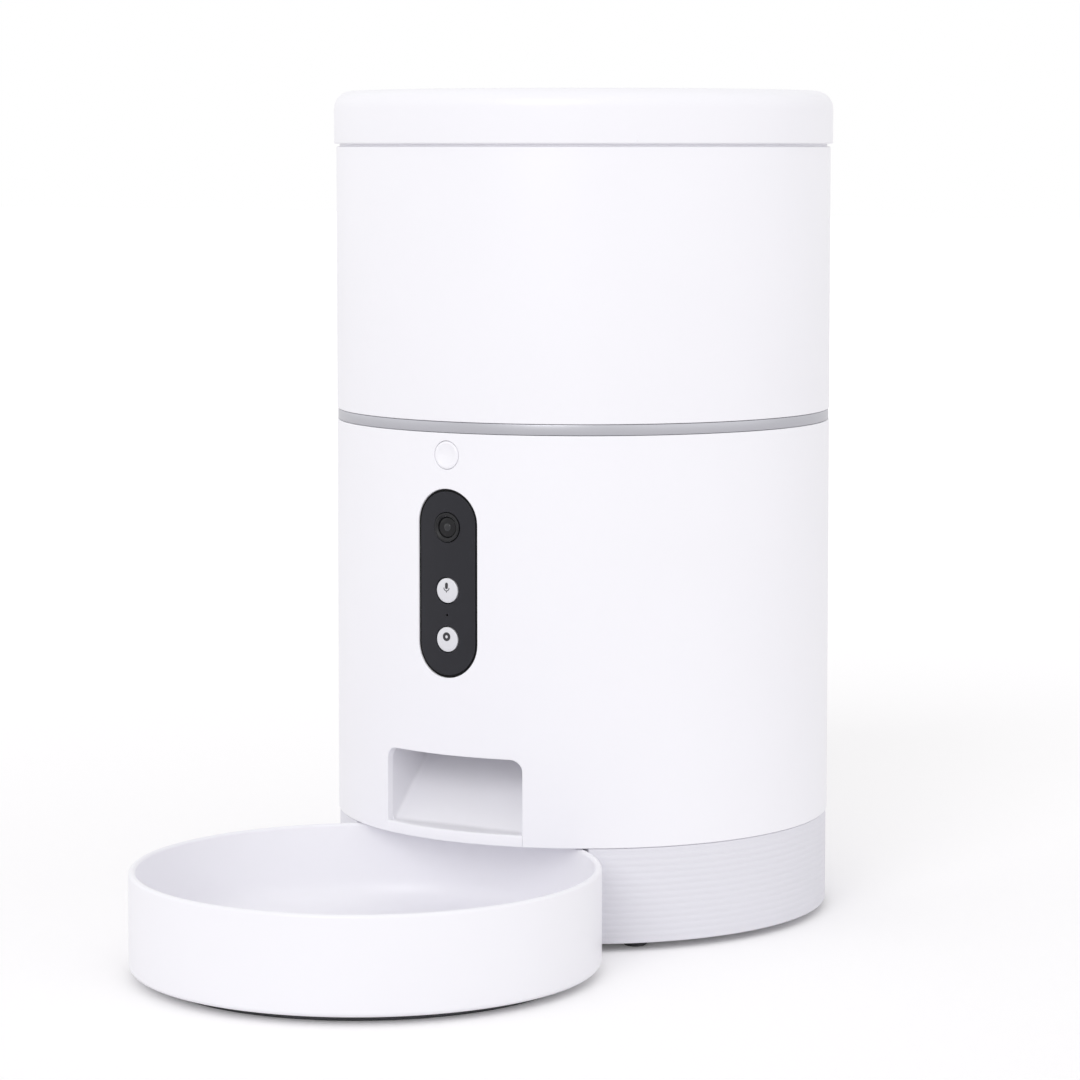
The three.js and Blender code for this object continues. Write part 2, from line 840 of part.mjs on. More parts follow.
function makeGearbox() {
  const lugX = gearRoom + gearboxWall + gearboxLugReach;
  const lugPlaces = [lugX, -lugX].map((x) => [x, idlerY / 2]);
  const lugs = (z0, z1) =>
    lugPlaces.map(([x, y]) => prismZ(circle(gearboxLugRadius, smallSides, x, y), z0, z1));
  const lugHoles = (z0, z1) =>
    lugPlaces.map(([x, y]) => prismZ(circle(pilotRadius, boreSides, x, y), z0, z1));
  const gearboxCase = cut(
    joined(gearboxSpace(gearboxWall, gearboxBottom, gearboxRim), ...lugs(gearboxBottom, gearboxRim)),
    gearboxSpace(0, gearboxFloor, gearboxRim + overrun),
    ...lugHoles(gearboxRim - screwLength - overrun, gearboxRim + overrun),
    disc(motorBossRadius + runningGap, gearboxBottom - overrun, gearboxFloor + overrun, smallSides)
      .translate(0, motorY, 0),
  );
  add(tower, "gearbox_case", gearboxCase, greyPlastic);

  const coverBottom = gearboxRim + clearance;
  const cover = cut(
    joined(gearboxSpace(gearboxWall, coverBottom, gearboxTop), ...lugs(coverBottom, gearboxTop)),
    ...lugHoles(coverBottom - overrun, gearboxTop + overrun),
    disc(outputShaftRadius + runningGap, coverBottom - overrun, gearboxTop + overrun, smallSides),
  );
  add(tower, "gearbox_cover", cover, greyPlastic);
  lugPlaces.forEach(([x, y], i) => {
    const place = [x, y, gearboxTop + clearance];
    add(tower, `gearbox_screw_${i + 1}`, screwGeometry().rotateX(2 * quarter), steel, place);
  });

  const shaftTop = gearboxTop + gearboxHeadroom / 2;
  const outputGear = joined(
    prismZ(gearOutline(outputTeeth, quarter), upperGearBottom, upperGearTop),
    disc(outputStubRadius, gearboxFloor + clearance, upperGearTop, smallSides),
    disc(outputShaftRadius, upperGearBottom, shaftTop, smallSides),
    prismZ(circle(dogRadius, dogSides), upperGearTop, floorTop + socketDepth - clearance),
  );
  add(tower, "output_gear", outputGear, nylonGear);

  const idler = cut(
    joined(
      prismZ(gearOutline(idlerTeeth, quarter), lowerGearBottom, lowerGearTop),
      prismZ(gearOutline(pinionTeeth, -quarter + Math.PI / pinionTeeth), lowerGearTop, upperGearTop),
      disc(idlerHubRadius, gearboxFloor + clearance, lowerGearTop, smallSides),
    ),
    disc(idlerAxleRadius + idlerPlay, gearboxBottom, gearboxTop, smallSides),
  );
  add(tower, "idler_gear", idler, nylonGear, [0, idlerY, 0]);
  const axle = disc(idlerAxleRadius, gearboxFloor + clearance, gearboxRim, smallSides);
  add(tower, "idler_axle", axle, steel, [0, idlerY, 0]);

  const motorTop = gearboxBottom - clearance;
  const motorBossTop = motorTop + motorBossHeight;
  const pinion = joined(
    prismZ(gearOutline(pinionTeeth, -quarter + Math.PI / pinionTeeth), lowerGearBottom, lowerGearTop),
    disc(motorShaftRadius, motorBossTop + clearance, lowerGearTop + overrun, boreSides),
  );
  add(tower, "motor_pinion", pinion, steel, [0, motorY, 0]);
  const motor = turned(
    [
      [0, motorTop - motorLength - motorTailLength],
      [motorTailRadius, motorTop - motorLength - motorTailLength],
      [motorTailRadius, motorTop - motorLength],
      [motorRadius, motorTop - motorLength],
      [motorRadius, motorTop],
      [motorBossRadius, motorTop],
      [motorBossRadius, motorBossTop],
      [0, motorBossTop],
    ],
    middleSides,
  );
  add(tower, "drive_motor", motor, steel, [0, motorY, 0]);
}

// Places along the front, measured down from the lower body's top edge
const fasciaZ = shellTop - fasciaDrop;
const lensZ = shellTop - lensDrop;
const recordZ = shellTop - recordDrop;
const microphoneZ = shellTop - microphoneDrop;
const playZ = shellTop - playDrop;
const feedZ = shellTop - feedDrop;
const fasciaFace = bodyRadius - fasciaInset;
const fasciaBack = insideFit - fasciaFlangeThickness;
const buttonBack = shellInner - 2 * clearance - buttonFlangeThickness - buttonTravel - runningGap;
const boardFront = bodyRadius - boardDepth;
const boardBack = boardFront - boardThickness;
const bayHalfWidth = fasciaWidth / 2 + fasciaLap + bayMargin;
const baySides = [-bayHalfWidth, bayHalfWidth];
const bayBack = boardBack - bayMargin;
const mouthTop = shellBottom + mouthHeight;
const shellLedgeBottom = ledgeTop - ledgeHeight;
const speakerY = shellInner - speakerStandoff;


// Angle, from +X, of a place at that radius which clears the dish's recess and the chute
function besideFront(radius, recessGap, chuteGap) {
  const reach = recessOuter + recessGap;
  const square = radius * radius + bowlReach * bowlReach - reach * reach;
  const pastRecess = Math.acos(square / (2 * radius * bowlReach));
  const pastChute = Math.asin((mouthHalfWidth + chuteWall + chuteGap) / radius);
  return Math.max(pastRecess, pastChute) - quarter;
}
const bothSides = (radius, angles) =>
  angles.flatMap((angle) =>
    [angle, 2 * quarter - angle].map((turn) => ({
      angle: turn,
      x: radius * Math.cos(turn),
      y: radius * Math.sin(turn),
    })),
  );
const postCircle = bodyRadius - postInset;
const frontPostAngle = besideFront(postCircle, frontPostToRecess, frontPostToChute);
const posts = bothSides(postCircle, [frontPostAngle, rearPostAngle]);
const footCircle = baseInner - footInset;
const frontFootAngle = besideFront(footCircle, frontFootToRecess, frontFootToChute);
const feet = bothSides(footCircle, [frontFootAngle, rearFootAngle]);
const plateTop = footHeight + plateThickness;

// Lower body shell with its ledge, screw posts, mouth, panel opening, button hole and speaker grille
function makeLowerShell() {
  const wall = turned([
    [shellInner, shellBottom],
    [bodyRadius, shellBottom],
    [bodyRadius, shellTop],
    [shellInner, shellTop],
    [shellInner, ledgeTop],
    [shellInner - ledgeWidth, ledgeTop],
    [shellInner - ledgeWidth, shellLedgeBottom],
    [shellInner, shellLedgeBottom - ledgeWidth],
  ]);
  const postBottom = plateTop + clearance;
  const postTop = postBottom + postHeight;
  const postPieces = posts.map(({ x, y }) =>
    prismZ(circle(postRadius, smallSides, x, y), postBottom, postTop),
  );
  const half = postRibWidth / 2;
  const ribs = posts.map(({ angle }) =>
    prismZ(
      box(postCircle, -half, bodyRadius - shellWall / 2, half),
      shellBottom,
      postTop,
    ).rotateZ(angle),
  );
  const pilots = posts.map(({ x, y }) =>
    prismZ(
      circle(pilotRadius, boreSides, x, y),
      postBottom - overrun,
      postBottom + screwLength + overrun,
    ),
  );
  const speakerRing = kept(
    facingFront(
      ring(
        speakerRadius - speakerBossWall,
        speakerRadius + speakerBossWall / 2,
        -bodyRadius,
        -speakerY - clearance,
        middleSides,
      ),
    ).translate(0, 0, speakerHeight),
    disc(bodyRadius - shellWall / 2, 0, shellTop),
  );
  const mouth = prismY(
    [
      ...arc(mouthHalfWidth - mouthCorner, mouthTop - mouthCorner, mouthCorner, 0, quarter),
      ...arc(mouthCorner - mouthHalfWidth, mouthTop - mouthCorner, mouthCorner, quarter, 2 * quarter),
      [-mouthHalfWidth, shellBottom - overrun],
      [mouthHalfWidth, shellBottom - overrun],
    ],
    -bodyRadius - overrun,
    -bodyRadius / 2,
  );
  const panelOpening = prismY(
    stadium(fasciaWidth, fasciaHeight),
    -bodyRadius - overrun,
    -bodyRadius / 2,
  ).translate(0, 0, fasciaZ);
  const bay = prismY(
    box(baySides[0], fasciaZ - fasciaHeight, baySides[1], shellTop - overrun),
    -shellInner,
    -bayBack,
  );
  const bayRoom = kept(bay, disc(shellInner, 0, shellTop));
  const feedHole = facingFront(
    disc(feedButtonRadius + clearance, bodyRadius / 2, bodyRadius + overrun, middleSides),
  ).translate(0, 0, feedZ);
  const grille = Array.from({ length: grilleSlotCount }, (_, i) => {
    const x = (i - (grilleSlotCount - 1) / 2) * grilleSlotPitch;
    const reach = speakerRadius - speakerBossWall * 2;
    const length = 2 * Math.sqrt(Math.max(reach * reach - x * x, grilleSlotWidth * grilleSlotWidth));
    return prismY(stadium(grilleSlotWidth, length, lipSteps), speakerY, bodyRadius + overrun).translate(
      x,
      0,
      speakerHeight,
    );
  });
  const shell = cut(
    joined(wall, ...postPieces, ...ribs, speakerRing),
    bayRoom,
    mouth,
    panelOpening,
    feedHole,
    ...pilots,
    ...grille,
  );
  add(tower, "lower_shell", shell, whiteShell);
}

// Seat ring on the lower body's top edge, and the bright band round its rim
function makeSeat() {
  const hole = bossCircle + bossRadius + 2 * runningGap;
  const rimOuter = shellInner + seatRimOverlap;
  const rimInner = rimOuter - seatRimOverlap - seatRimWidth;
  const plateBottom = shellTop - seatRingThickness - clearance;
  const notchHalf = feedButtonRadius + buttonFlange + runningGap;
  const notch = prismZ(
    box(-notchHalf, -bodyRadius, notchHalf, -buttonBack),
    plateBottom - overrun,
    feedZ + feedButtonRadius + buttonFlange + clearance,
  );
  const ringShape = turned([
    [hole, plateBottom],
    [insideFit, plateBottom],
    [insideFit, bandBottom],
    [rimOuter, bandBottom],
    [rimOuter, bandTop],
    [rimInner, bandTop],
    [rimInner, shellTop - clearance],
    [hole, shellTop - clearance],
  ]);
  add(tower, "tank_seat_ring", cut(ringShape, notch), greyPlastic);
  const band = ring(rimOuter + clearance, bodyRadius - bandInset, bandBottom, bandTop);
  add(tower, "trim_band", band, brightBand);
}

// Chassis plate with openings for the chute, the panel board and the motor, and pegs for the board
const mainBoardCorners = box(
  mainBoardSide,
  -mainBoardStart,
  mainBoardSide + mainBoardWidth,
  mainBoardLength - mainBoardStart,
);
const pegs = box(
  mainBoardSide + pegInset,
  pegInset - mainBoardStart,
  mainBoardSide + mainBoardWidth - pegInset,
  mainBoardLength - mainBoardStart - pegInset,
);

function makeChassis() {
  const chuteHalf = mouthHalfWidth + clearance + chuteWall + runningGap;
  const plate = cut(
    disc(insideFit, chassisBottom, chassisTop),
    prismZ(
      box(
        -chuteHalf,
        -dropOuter - chuteWall - runningGap,
        chuteHalf,
        chuteWall + runningGap - dropInner,
      ),
      chassisBottom - overrun,
      chassisTop + overrun,
    ),
    prismZ(
      box(baySides[0], -bodyRadius - overrun, baySides[1], -bayBack),
      chassisBottom - overrun,
      chassisTop + overrun,
    ),
    disc(motorRadius + runningGap, chassisBottom - overrun, chassisTop + overrun, middleSides)
      .translate(0, motorY, 0),
  );
  const pegPieces = pegs.map(([x, y]) =>
    prismZ(circle(pegRadius, boreSides, x, y), chassisBottom, chassisTop + pegHeight),
  );
  add(tower, "chassis_plate", joined(plate, ...pegPieces), greyPlastic);

  const boardBottom = chassisTop + pegHeight + clearance;
  const boardTop = boardBottom + boardThickness;
  const middleX = mainBoardSide + mainBoardWidth / 2;
  const middleY = mainBoardLength / 2 - mainBoardStart;
  const chipHalf = chipSize / 2;
  const lastY = mainBoardLength - mainBoardStart;
  const board = joined(
    prismZ(mainBoardCorners, boardBottom, boardTop),
    prismZ(
      box(middleX - chipHalf, middleY - chipHalf, middleX + chipHalf, middleY + chipHalf),
      boardBottom,
      boardTop + chipHeight,
    ),
    ...[-1, 1].map((side) =>
      prismZ(
        box(
          middleX + side * plugLength - plugLength / 2,
          lastY - plugWidth,
          middleX + side * plugLength + plugLength / 2,
          lastY,
        ),
        boardBottom,
        boardTop + plugHeight,
      ),
    ),
  );
  add(tower, "main_board", board, circuitGreen);

  const speaker = turned(
    [
      [0, 0],
      [speakerRadius, 0],
      [speakerRadius, speakerDepth - speakerMagnetDepth],
      [speakerMagnetRadius, speakerDepth - speakerMagnetDepth],
      [speakerMagnetRadius, speakerDepth],
      [0, speakerDepth],
    ],
    middleSides,
  );
  add(tower, "speaker", facingFront(speaker), greyPlastic, [0, speakerY, speakerHeight]);
}

// Chute: a closed duct that drops from the tank's floor and slopes forward to the mouth
function makeChute() {
  const innerHalf = mouthHalfWidth + clearance;
  const outerHalf = innerHalf + chuteWall;
  const top = floorBottom - 2 * clearance;
  const rampTop = top - chuteDrop;
  const hoodTop = top - chuteHoodDrop;
  const apronBottom = shellBottom + recessRoof + 2 * clearance + clearance;
  const apronTop = apronBottom + chuteWall;
  const apronY = apronLength - insideFit;
  const rampRun = -dropInner - apronY;
  const rampSlope = (rampTop - apronTop) / rampRun;
  const rampSink = chuteWall * Math.hypot(1, rampSlope);
  const hoodFrontY = -dropOuter - hoodReach;
  const hoodFrontZ = mouthTop + clearance;
  const hoodSlope = (hoodTop - hoodFrontZ) / hoodReach;
  const hoodRise = chuteWall * Math.hypot(1, hoodSlope);
  const out = -bodyRadius - overrun;
  const inside = [
    [-dropInner, top + overrun],
    [-dropInner, rampTop],
    [apronY, apronTop],
    [out, apronTop],
    [out, hoodFrontZ],
    [hoodFrontY, hoodFrontZ],
    [-dropOuter, hoodTop],
    [-dropOuter, top + overrun],
  ];
  const outside = [
    [chuteWall - dropInner, top],
    [chuteWall - dropInner, rampTop + chuteWall * rampSlope - rampSink],
    [apronY + (rampSink - chuteWall) / rampSlope, apronBottom],
    [out, apronBottom],
    [out, hoodFrontZ + chuteWall],
    [hoodFrontY, hoodFrontZ + hoodRise],
    [-dropOuter - chuteWall, hoodTop - chuteWall * hoodSlope + hoodRise],
    [-dropOuter - chuteWall, top],
  ];
  const flange = prismZ(
    box(
      -outerHalf - chuteFlange,
      -dropOuter - chuteWall - chuteFlange,
      outerHalf + chuteFlange,
      chuteWall - dropInner,
    ),
    gearboxBottom,
    gearboxBottom + chuteFlangeThickness,
  );
  const duct = cut(
    joined(prismX(outside, -outerHalf, outerHalf), flange),
    prismX(inside, -innerHalf, innerHalf),
  );
  const chute = kept(duct, disc(insideFit, 0, tankTop));
  add(tower, "food_chute", chute, whiteShell);
}

// Camera panel: fascia, lens, camera, microphone, three buttons, and the board with their switches
function makePanel() {
  const onWall = (outline, inner, outer) =>
    kept(
      prismY(outline, -bodyRadius - overrun, -bodyRadius / 2),
      ring(inner, outer, -fasciaHeight, fasciaHeight),
    ).translate(0, 0, fasciaZ);
  const lapWidth = fasciaWidth + 2 * fasciaLap;
  const lapHeight = fasciaHeight + 2 * fasciaLap;
  const face = stadium(fasciaWidth - 2 * clearance, fasciaHeight - 2 * clearance);
  const frontHole = (radius, z, sides = middleSides) =>
    facingFront(disc(radius, bodyRadius / 2, bodyRadius + overrun, sides)).translate(0, 0, z);
  const postZs = [
    (fasciaZ - fasciaHeight / 2 + playZ - buttonRadius) / 2,
    (recordZ + buttonRadius + buttonFlange + lensZ - cameraSize / 2) / 2,
  ];
  const fasciaPosts = postZs.map((z) =>
    facingFront(
      disc(fasciaPostRadius, boardFront + clearance, fasciaBack + fasciaPostSink, boreSides),
    ).translate(0, 0, z),
  );
  const fascia = joined(
    cut(
      joined(
        onWall(face, fasciaBack, fasciaFace),
        onWall(stadium(lapWidth, lapHeight), fasciaBack, insideFit),
      ),
      frontHole(lensRingRadius + clearance, lensZ),
      frontHole(buttonRadius + clearance, recordZ),
      frontHole(buttonRadius + clearance, playZ),
      frontHole(microphoneHole, microphoneZ, boreSides),
    ),
    ...fasciaPosts,
  );
  add(tower, "camera_fascia", fascia, blackGloss);

  const ringFront = fasciaFace + lensProud;
  const ringBack = fasciaBack + clearance;
  const windowBack = ringFront - lensThickness - 2 * clearance;
  const bezel = turned(
    [
      [lensRadius - lensRimWidth, ringBack],
      [lensRingRadius, ringBack],
      [lensRingRadius, ringFront],
      [lensRadius + clearance, ringFront],
      [lensRadius + clearance, windowBack - clearance],
      [lensRadius - lensRimWidth, windowBack - clearance],
    ],
    middleSides,
  );
  add(tower, "lens_ring", facingFront(bezel), blackGloss, [0, 0, lensZ]);
  const glass = disc(lensRadius, windowBack, windowBack + lensThickness, middleSides);
  add(tower, "lens_window", facingFront(glass), lensGlass, [0, 0, lensZ]);

  const bodyFront = boardFront + cameraBodyDepth;
  const half = cameraSize / 2;
  const camera = joined(
    facingFront(disc(cameraBarrelRadius, bodyFront - overrun, ringBack - clearance, smallSides)),
    prismY(box(-half, -half, half, half), -bodyFront, -boardFront - clearance),
  );
  add(tower, "camera_module", camera, blackGloss, [0, 0, lensZ]);

  const capsule = disc(
    microphoneRadius,
    boardFront + clearance,
    fasciaBack - clearance - runningGap / 2,
    smallSides,
  );
  add(tower, "microphone", facingFront(capsule), rubberDark, [0, 0, microphoneZ]);

  const switchHalf = switchSize / 2;
  const boardLow = fasciaZ - fasciaHeight / 2 + boardMargin;
  const boardHigh = feedZ + boardTopMargin;
  const board = joined(
    prismY(box(-boardWidth / 2, boardLow, boardWidth / 2, boardHigh), -boardFront, -boardBack),
    ...[recordZ, playZ, feedZ].map((z) =>
      prismY(
        box(-switchHalf, z - switchHalf, switchHalf, z + switchHalf),
        -boardFront - switchHeight,
        -boardBack,
      ),
    ),
  );
  add(tower, "panel_board", board, circuitGreen);

  const stemEnd = boardFront + switchHeight + buttonTravel + clearance;
  const buttonShape = (radius, back, front) =>
    facingFront(
      turned(
        [
          [0, stemEnd],
          [buttonStemRadius, stemEnd],
          [buttonStemRadius, back - buttonFlangeThickness],
          [radius + buttonFlange, back - buttonFlangeThickness],
          [radius + buttonFlange, back],
          [radius, back],
          [radius, front - buttonChamfer],
          [radius - buttonChamfer, front],
          [0, front],
        ],
        middleSides,
      ),
    );
  const panelButton = () =>
    buttonShape(buttonRadius, fasciaBack - 2 * clearance, fasciaFace + buttonProud);
  add(tower, "record_button", panelButton(), buttonPearl, [0, 0, recordZ]);
  add(tower, "play_button", panelButton(), buttonPearl, [0, 0, playZ]);
  const feedButton = buttonShape(feedButtonRadius, shellInner - 2 * clearance, bodyRadius);
  add(tower, "feed_button", feedButton, whiteShell, [0, 0, feedZ]);
}

// Base: grey ring with the dish's recess, the plate under it, its feet, screws and power inlet
const bowlSpace = (radius, z0, z1) => disc(radius, z0, z1).translate(0, -bowlReach, 0);

function makeBase() {
  const roofBottom = shellBottom - bowlRimDrop + recessRoofGap;
  const roofTop = roofBottom + recessRoof;
  const ledgeBottom = plateTop + clearance;
  const outerWall = turned([
    [baseInner, footHeight],
    [baseRadius, footHeight],
    [baseRadius, baseTop],
    [baseInner, baseTop],
    [baseInner, ledgeBottom + ledgeRingHeight],
    [baseInner - ledgeRing, ledgeBottom + ledgeRingHeight],
    [baseInner - ledgeRing, ledgeBottom],
    [baseInner, ledgeBottom],
  ]);
  const recessLow = kept(
    bowlSpace(recessOuter, footHeight, baseTop),
    disc(baseRadius, 0, shellTop),
  );
  const recessHigh = kept(
    bowlSpace(recessOuter, baseTop - overrun, roofTop),
    disc(insideFit, 0, shellTop),
  );
  const inletHole = facingFront(
    disc(inletNoseRadius + clearance, -bodyRadius - overrun, -bodyRadius / 2, smallSides),
  ).translate(0, 0, inletHeight);
  const base = cut(
    joined(outerWall, recessLow, recessHigh),
    bowlSpace(recessRadius, 0, roofBottom),
    inletHole,
  );
  add(tower, "base_ring", base, greyBase);

  const counterbores = posts.map(({ x, y }) =>
    prismZ(
      circle(screwHeadRadius + clearance, smallSides, x, y),
      0,
      footHeight + counterboreDepth,
    ),
  );
  const screwHoles = posts.map(({ x, y }) =>
    prismZ(circle(pilotRadius, boreSides, x, y), 0, plateTop + overrun),
  );
  const pockets = feet.map(({ x, y }) =>
    prismZ(circle(footRadius + clearance, smallSides, x, y), 0, footHeight + footPocket),
  );
  const plate = cut(
    disc(baseInner - clearance, footHeight, plateTop),
    bowlSpace(recessOuter + clearance, 0, shellTop),
    prismZ(box(-doorHalf - clearance, doorStart - clearance, doorHalf + clearance, rebateEnd),
      0,
      footHeight + doorRebate,
    ),
    prismZ(box(-cellRoom, cellsStart, cellRoom, cellsEnd), 0, plateTop + overrun),
    ...counterbores,
    ...screwHoles,
    ...pockets,
  );
  add(tower, "bottom_plate", plate, greyBase);

  posts.forEach(({ x, y }, i) => {
    const place = [x, y, footHeight + counterboreDepth - clearance];
    add(tower, `base_screw_${i + 1}`, screwGeometry(), steel, place);
  });
  const foot = turned(
    [
      [0, 0],
      [footRadius - footTaper, 0],
      [footRadius, footTaper],
      [footRadius, footHeight + footPocket - clearance],
      [0, footHeight + footPocket - clearance],
    ],
    smallSides,
  );
  feet.forEach(({ x, y }, i) => {
    add(tower, `rubber_foot_${i + 1}`, foot.clone(), rubberDark, [x, y, 0]);
  });

  const bodyHalf = inletBodySize / 2;
  const face = baseRadius - clearance;
  const rearward = (geometry) => geometry.rotateX(-quarter);
  const inletBack = baseInner - runningGap;
  const socket = ring(inletPinRadius, inletBoreRadius, face - inletDepth, face + overrun, smallSides);
  const inlet = cut(
    joined(
      prismY(box(-bodyHalf, -bodyHalf, bodyHalf, bodyHalf), inletBack - inletBodyDepth, inletBack),
      rearward(disc(inletNoseRadius, inletBack - overrun, face, smallSides)),
    ),
    rearward(socket),
    rearward(disc(inletPinRadius, face - overrun, face + overrun, smallSides)),
  );
  add(tower, "power_inlet", inlet, blackGloss, [0, 0, inletHeight]);
}

// Battery bay: sizes that the plate above is cut from, then the box, cells, contacts and door
const cellPitch = 2 * cellRadius + cellPitchGap;
const cellRoom = (cellCount * cellPitch) / 2;
const cellsStart = Math.max(
  recessOuter - bowlReach + batteryToRecess,
  feet[0].y + footRadius + doorLap + 2 * runningGap,
);
const cellsEnd = cellsStart + cellLength + cellCapHeight + 2 * contactRoom;
const doorHalf = cellRoom + doorLap;
const doorStart = cellsStart - doorLap;
const doorEnd = cellsEnd + doorLap;
const rebateEnd = doorEnd + doorTravel + runningGap;
const doorTop = footHeight + doorRebate - clearance;
const cellZ = doorTop + clearance + cellRadius;

function makeBatteryBay() {
  const boxBottom = plateTop + clearance;
  const ceiling = cellZ + cellRadius + clearance;
  const outerX = cellRoom + batteryWall;
  const battery = cut(
    prismZ(
      box(-outerX, cellsStart - batteryWall, outerX, cellsEnd + batteryWall),
      boxBottom,
      ceiling + batteryWall,
    ),
    prismZ(box(-cellRoom, cellsStart, cellRoom, cellsEnd), boxBottom - overrun, ceiling),
  );
  add(tower, "battery_box", battery, greyPlastic);

  const cell = turned(
    [
      [0, 0],
      [cellRadius, 0],
      [cellRadius, cellLength],
      [cellCapRadius, cellLength],
      [cellCapRadius, cellLength + cellCapHeight],
      [0, cellLength + cellCapHeight],
    ],
    middleSides,
  ).rotateX(-quarter);
  const cellXs = Array.from({ length: cellCount }, (_, i) => (i - (cellCount - 1) / 2) * cellPitch);
  const cellY = cellsStart + contactRoom;
  cellXs.forEach((x, i) => {
    add(tower, `battery_cell_${i + 1}`, cell.clone(), cellJacket, [x, cellY, cellZ]);
  });

  const plateHalf = cellRoom - runningGap;
  const contactHalf = contactHeight / 2;
  const strip = (y) =>
    prismY(box(-plateHalf, -contactHalf, plateHalf, contactHalf), y, y + contactThickness);
  const frontY = cellsStart + clearance;
  const rearY = cellsEnd - clearance - contactThickness;
  const cones = (turn, y) =>
    cellXs.map((x) =>
      turned(
        [
          [0, 0],
          [contactSpringRadius, 0],
          [contactSpringRadius / 2, contactRoom - 2 * clearance],
          [0, contactRoom - 2 * clearance],
        ],
        smallSides,
      )
        .rotateX(turn)
        .translate(x, y, 0),
    );
  const frontContact = joined(strip(frontY), ...cones(-quarter, frontY));
  add(tower, "battery_contact_front", frontContact, steel, [0, 0, cellZ]);
  const rearContact = joined(strip(rearY), ...cones(quarter, rearY + contactThickness));
  add(tower, "battery_contact_rear", rearContact, steel, [0, 0, cellZ]);

  const door = prismZ(
    roundedBox(-doorHalf, doorStart, doorHalf, doorEnd, doorLap),
    doorTop - doorThickness,
    doorTop,
  );
  const grips = Array.from({ length: doorGripCount }, (_, i) => {
    const y = doorEnd - doorGripPitch * (i + 2);
    return prismZ(
      box(-doorGripLength / 2, y - doorGripWidth, doorGripLength / 2, y),
      doorTop - doorThickness - overrun,
      doorTop - doorThickness + doorGripDepth,
    );
  });
  add(tower, "battery_door", cut(door, ...grips), greyBase);
}

makeDish();
makeLid();
makeTank();
makeRotor();
makeGearbox();
makeLowerShell();
makeSeat();
makeChassis();
makeChute();
makePanel();
makeBase();
makeBatteryBay();

export default feeder;
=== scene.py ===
from math import acos, asin, cos, pi, radians, sin, sqrt, tan

import bmesh
import bpy
from mathutils import Matrix, Vector
from mathutils.geometry import delaunay_2d_cdt


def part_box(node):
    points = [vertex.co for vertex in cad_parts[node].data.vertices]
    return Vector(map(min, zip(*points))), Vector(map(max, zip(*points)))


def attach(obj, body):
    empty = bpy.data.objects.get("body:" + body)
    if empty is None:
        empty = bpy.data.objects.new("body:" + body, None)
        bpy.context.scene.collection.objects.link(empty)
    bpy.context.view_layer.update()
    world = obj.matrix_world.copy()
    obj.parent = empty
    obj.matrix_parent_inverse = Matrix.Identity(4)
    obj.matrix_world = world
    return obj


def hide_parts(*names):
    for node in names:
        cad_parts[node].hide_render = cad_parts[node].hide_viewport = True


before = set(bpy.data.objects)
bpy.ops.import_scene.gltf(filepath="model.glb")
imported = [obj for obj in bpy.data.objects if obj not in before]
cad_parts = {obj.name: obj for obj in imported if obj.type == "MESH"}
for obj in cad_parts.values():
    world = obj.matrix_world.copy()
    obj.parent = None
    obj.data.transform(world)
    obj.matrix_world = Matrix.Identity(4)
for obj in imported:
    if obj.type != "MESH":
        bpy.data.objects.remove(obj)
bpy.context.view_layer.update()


# Base skirt
# The grey foot of the tower: ABS moulded in one piece with the recess that the bowl slides into.
# Fine level ribs run round its outside from one edge of the recess to the other, and four screws
# from below hold it to the white body.
MM = 0.001
# Radii of moulded edges, from crisp to full
crisp, fine, soft, full = 0.2 * MM, 0.3 * MM, 0.4 * MM, 0.5 * MM


def centre_of(node):
    """The middle of a CAD node's box."""
    return [(low + high) / 2 for low, high in zip(*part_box(node))]


skirt_low, skirt_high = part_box("base_ring")
skirt_radius = skirt_high.x
skirt_wall = 2.5 * MM
skirt_top = skirt_low.z + 35.3 * MM
tower_y = skirt_high.y - skirt_radius
bowl_low, bowl_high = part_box("food_bowl")
bowl_radius = bowl_high.x
bowl_y = centre_of("food_bowl")[1]
shell_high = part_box("lower_shell")[1]
body_radius = shell_high.x
inner_fit = body_radius - 2.8 * MM
seam = 0.15 * MM
shell_bottom = skirt_top + seam
rib_relief = 0.08 * MM
rib_width = 1.7 * MM
rib_pitch = 2.4 * MM
rib_end_gap = 0.6 * MM
recess_radius = bowl_radius + 0.9 * MM
recess_wall = 2 * MM
recess_roof = 1.4 * MM
inlet_z = centre_of("power_inlet")[2]
inlet_hole = 4.6 * MM
inlet_pad = 8 * MM
weld = 0.001 * MM


def colour_of(code):
    """A linear colour with alpha from a six-digit sRGB hex code."""
    parts = [int(code[i : i + 2], 16) / 255 for i in (0, 2, 4)]
    return [c / 12.92 if c <= 0.04045 else ((c + 0.055) / 1.055) ** 2.4 for c in parts] + [1]


def add_node(tree, kind, settings=None, links=None):
    """Adds one node; settings are for its sockets and options, and links for what feeds it."""
    node = tree.nodes.new(kind)
    for key, value in (settings or {}).items():
        if isinstance(key, int) or key in node.inputs:
            node.inputs[key].default_value = value
        else:
            setattr(node, key, value)
    for key, source in (links or {}).items():
        tree.links.new(source, node.inputs[key])
    return node


def linked(name, data):
    """A new object in the scene."""
    piece = bpy.data.objects.new(name, data)
    bpy.context.collection.objects.link(piece)
    return piece


def new_material(name):
    """A new material, its node tree and its shader."""
    material = bpy.data.materials.new(name)
    material.use_nodes = True
    tree = material.node_tree
    return material, tree, tree.nodes["Principled BSDF"]


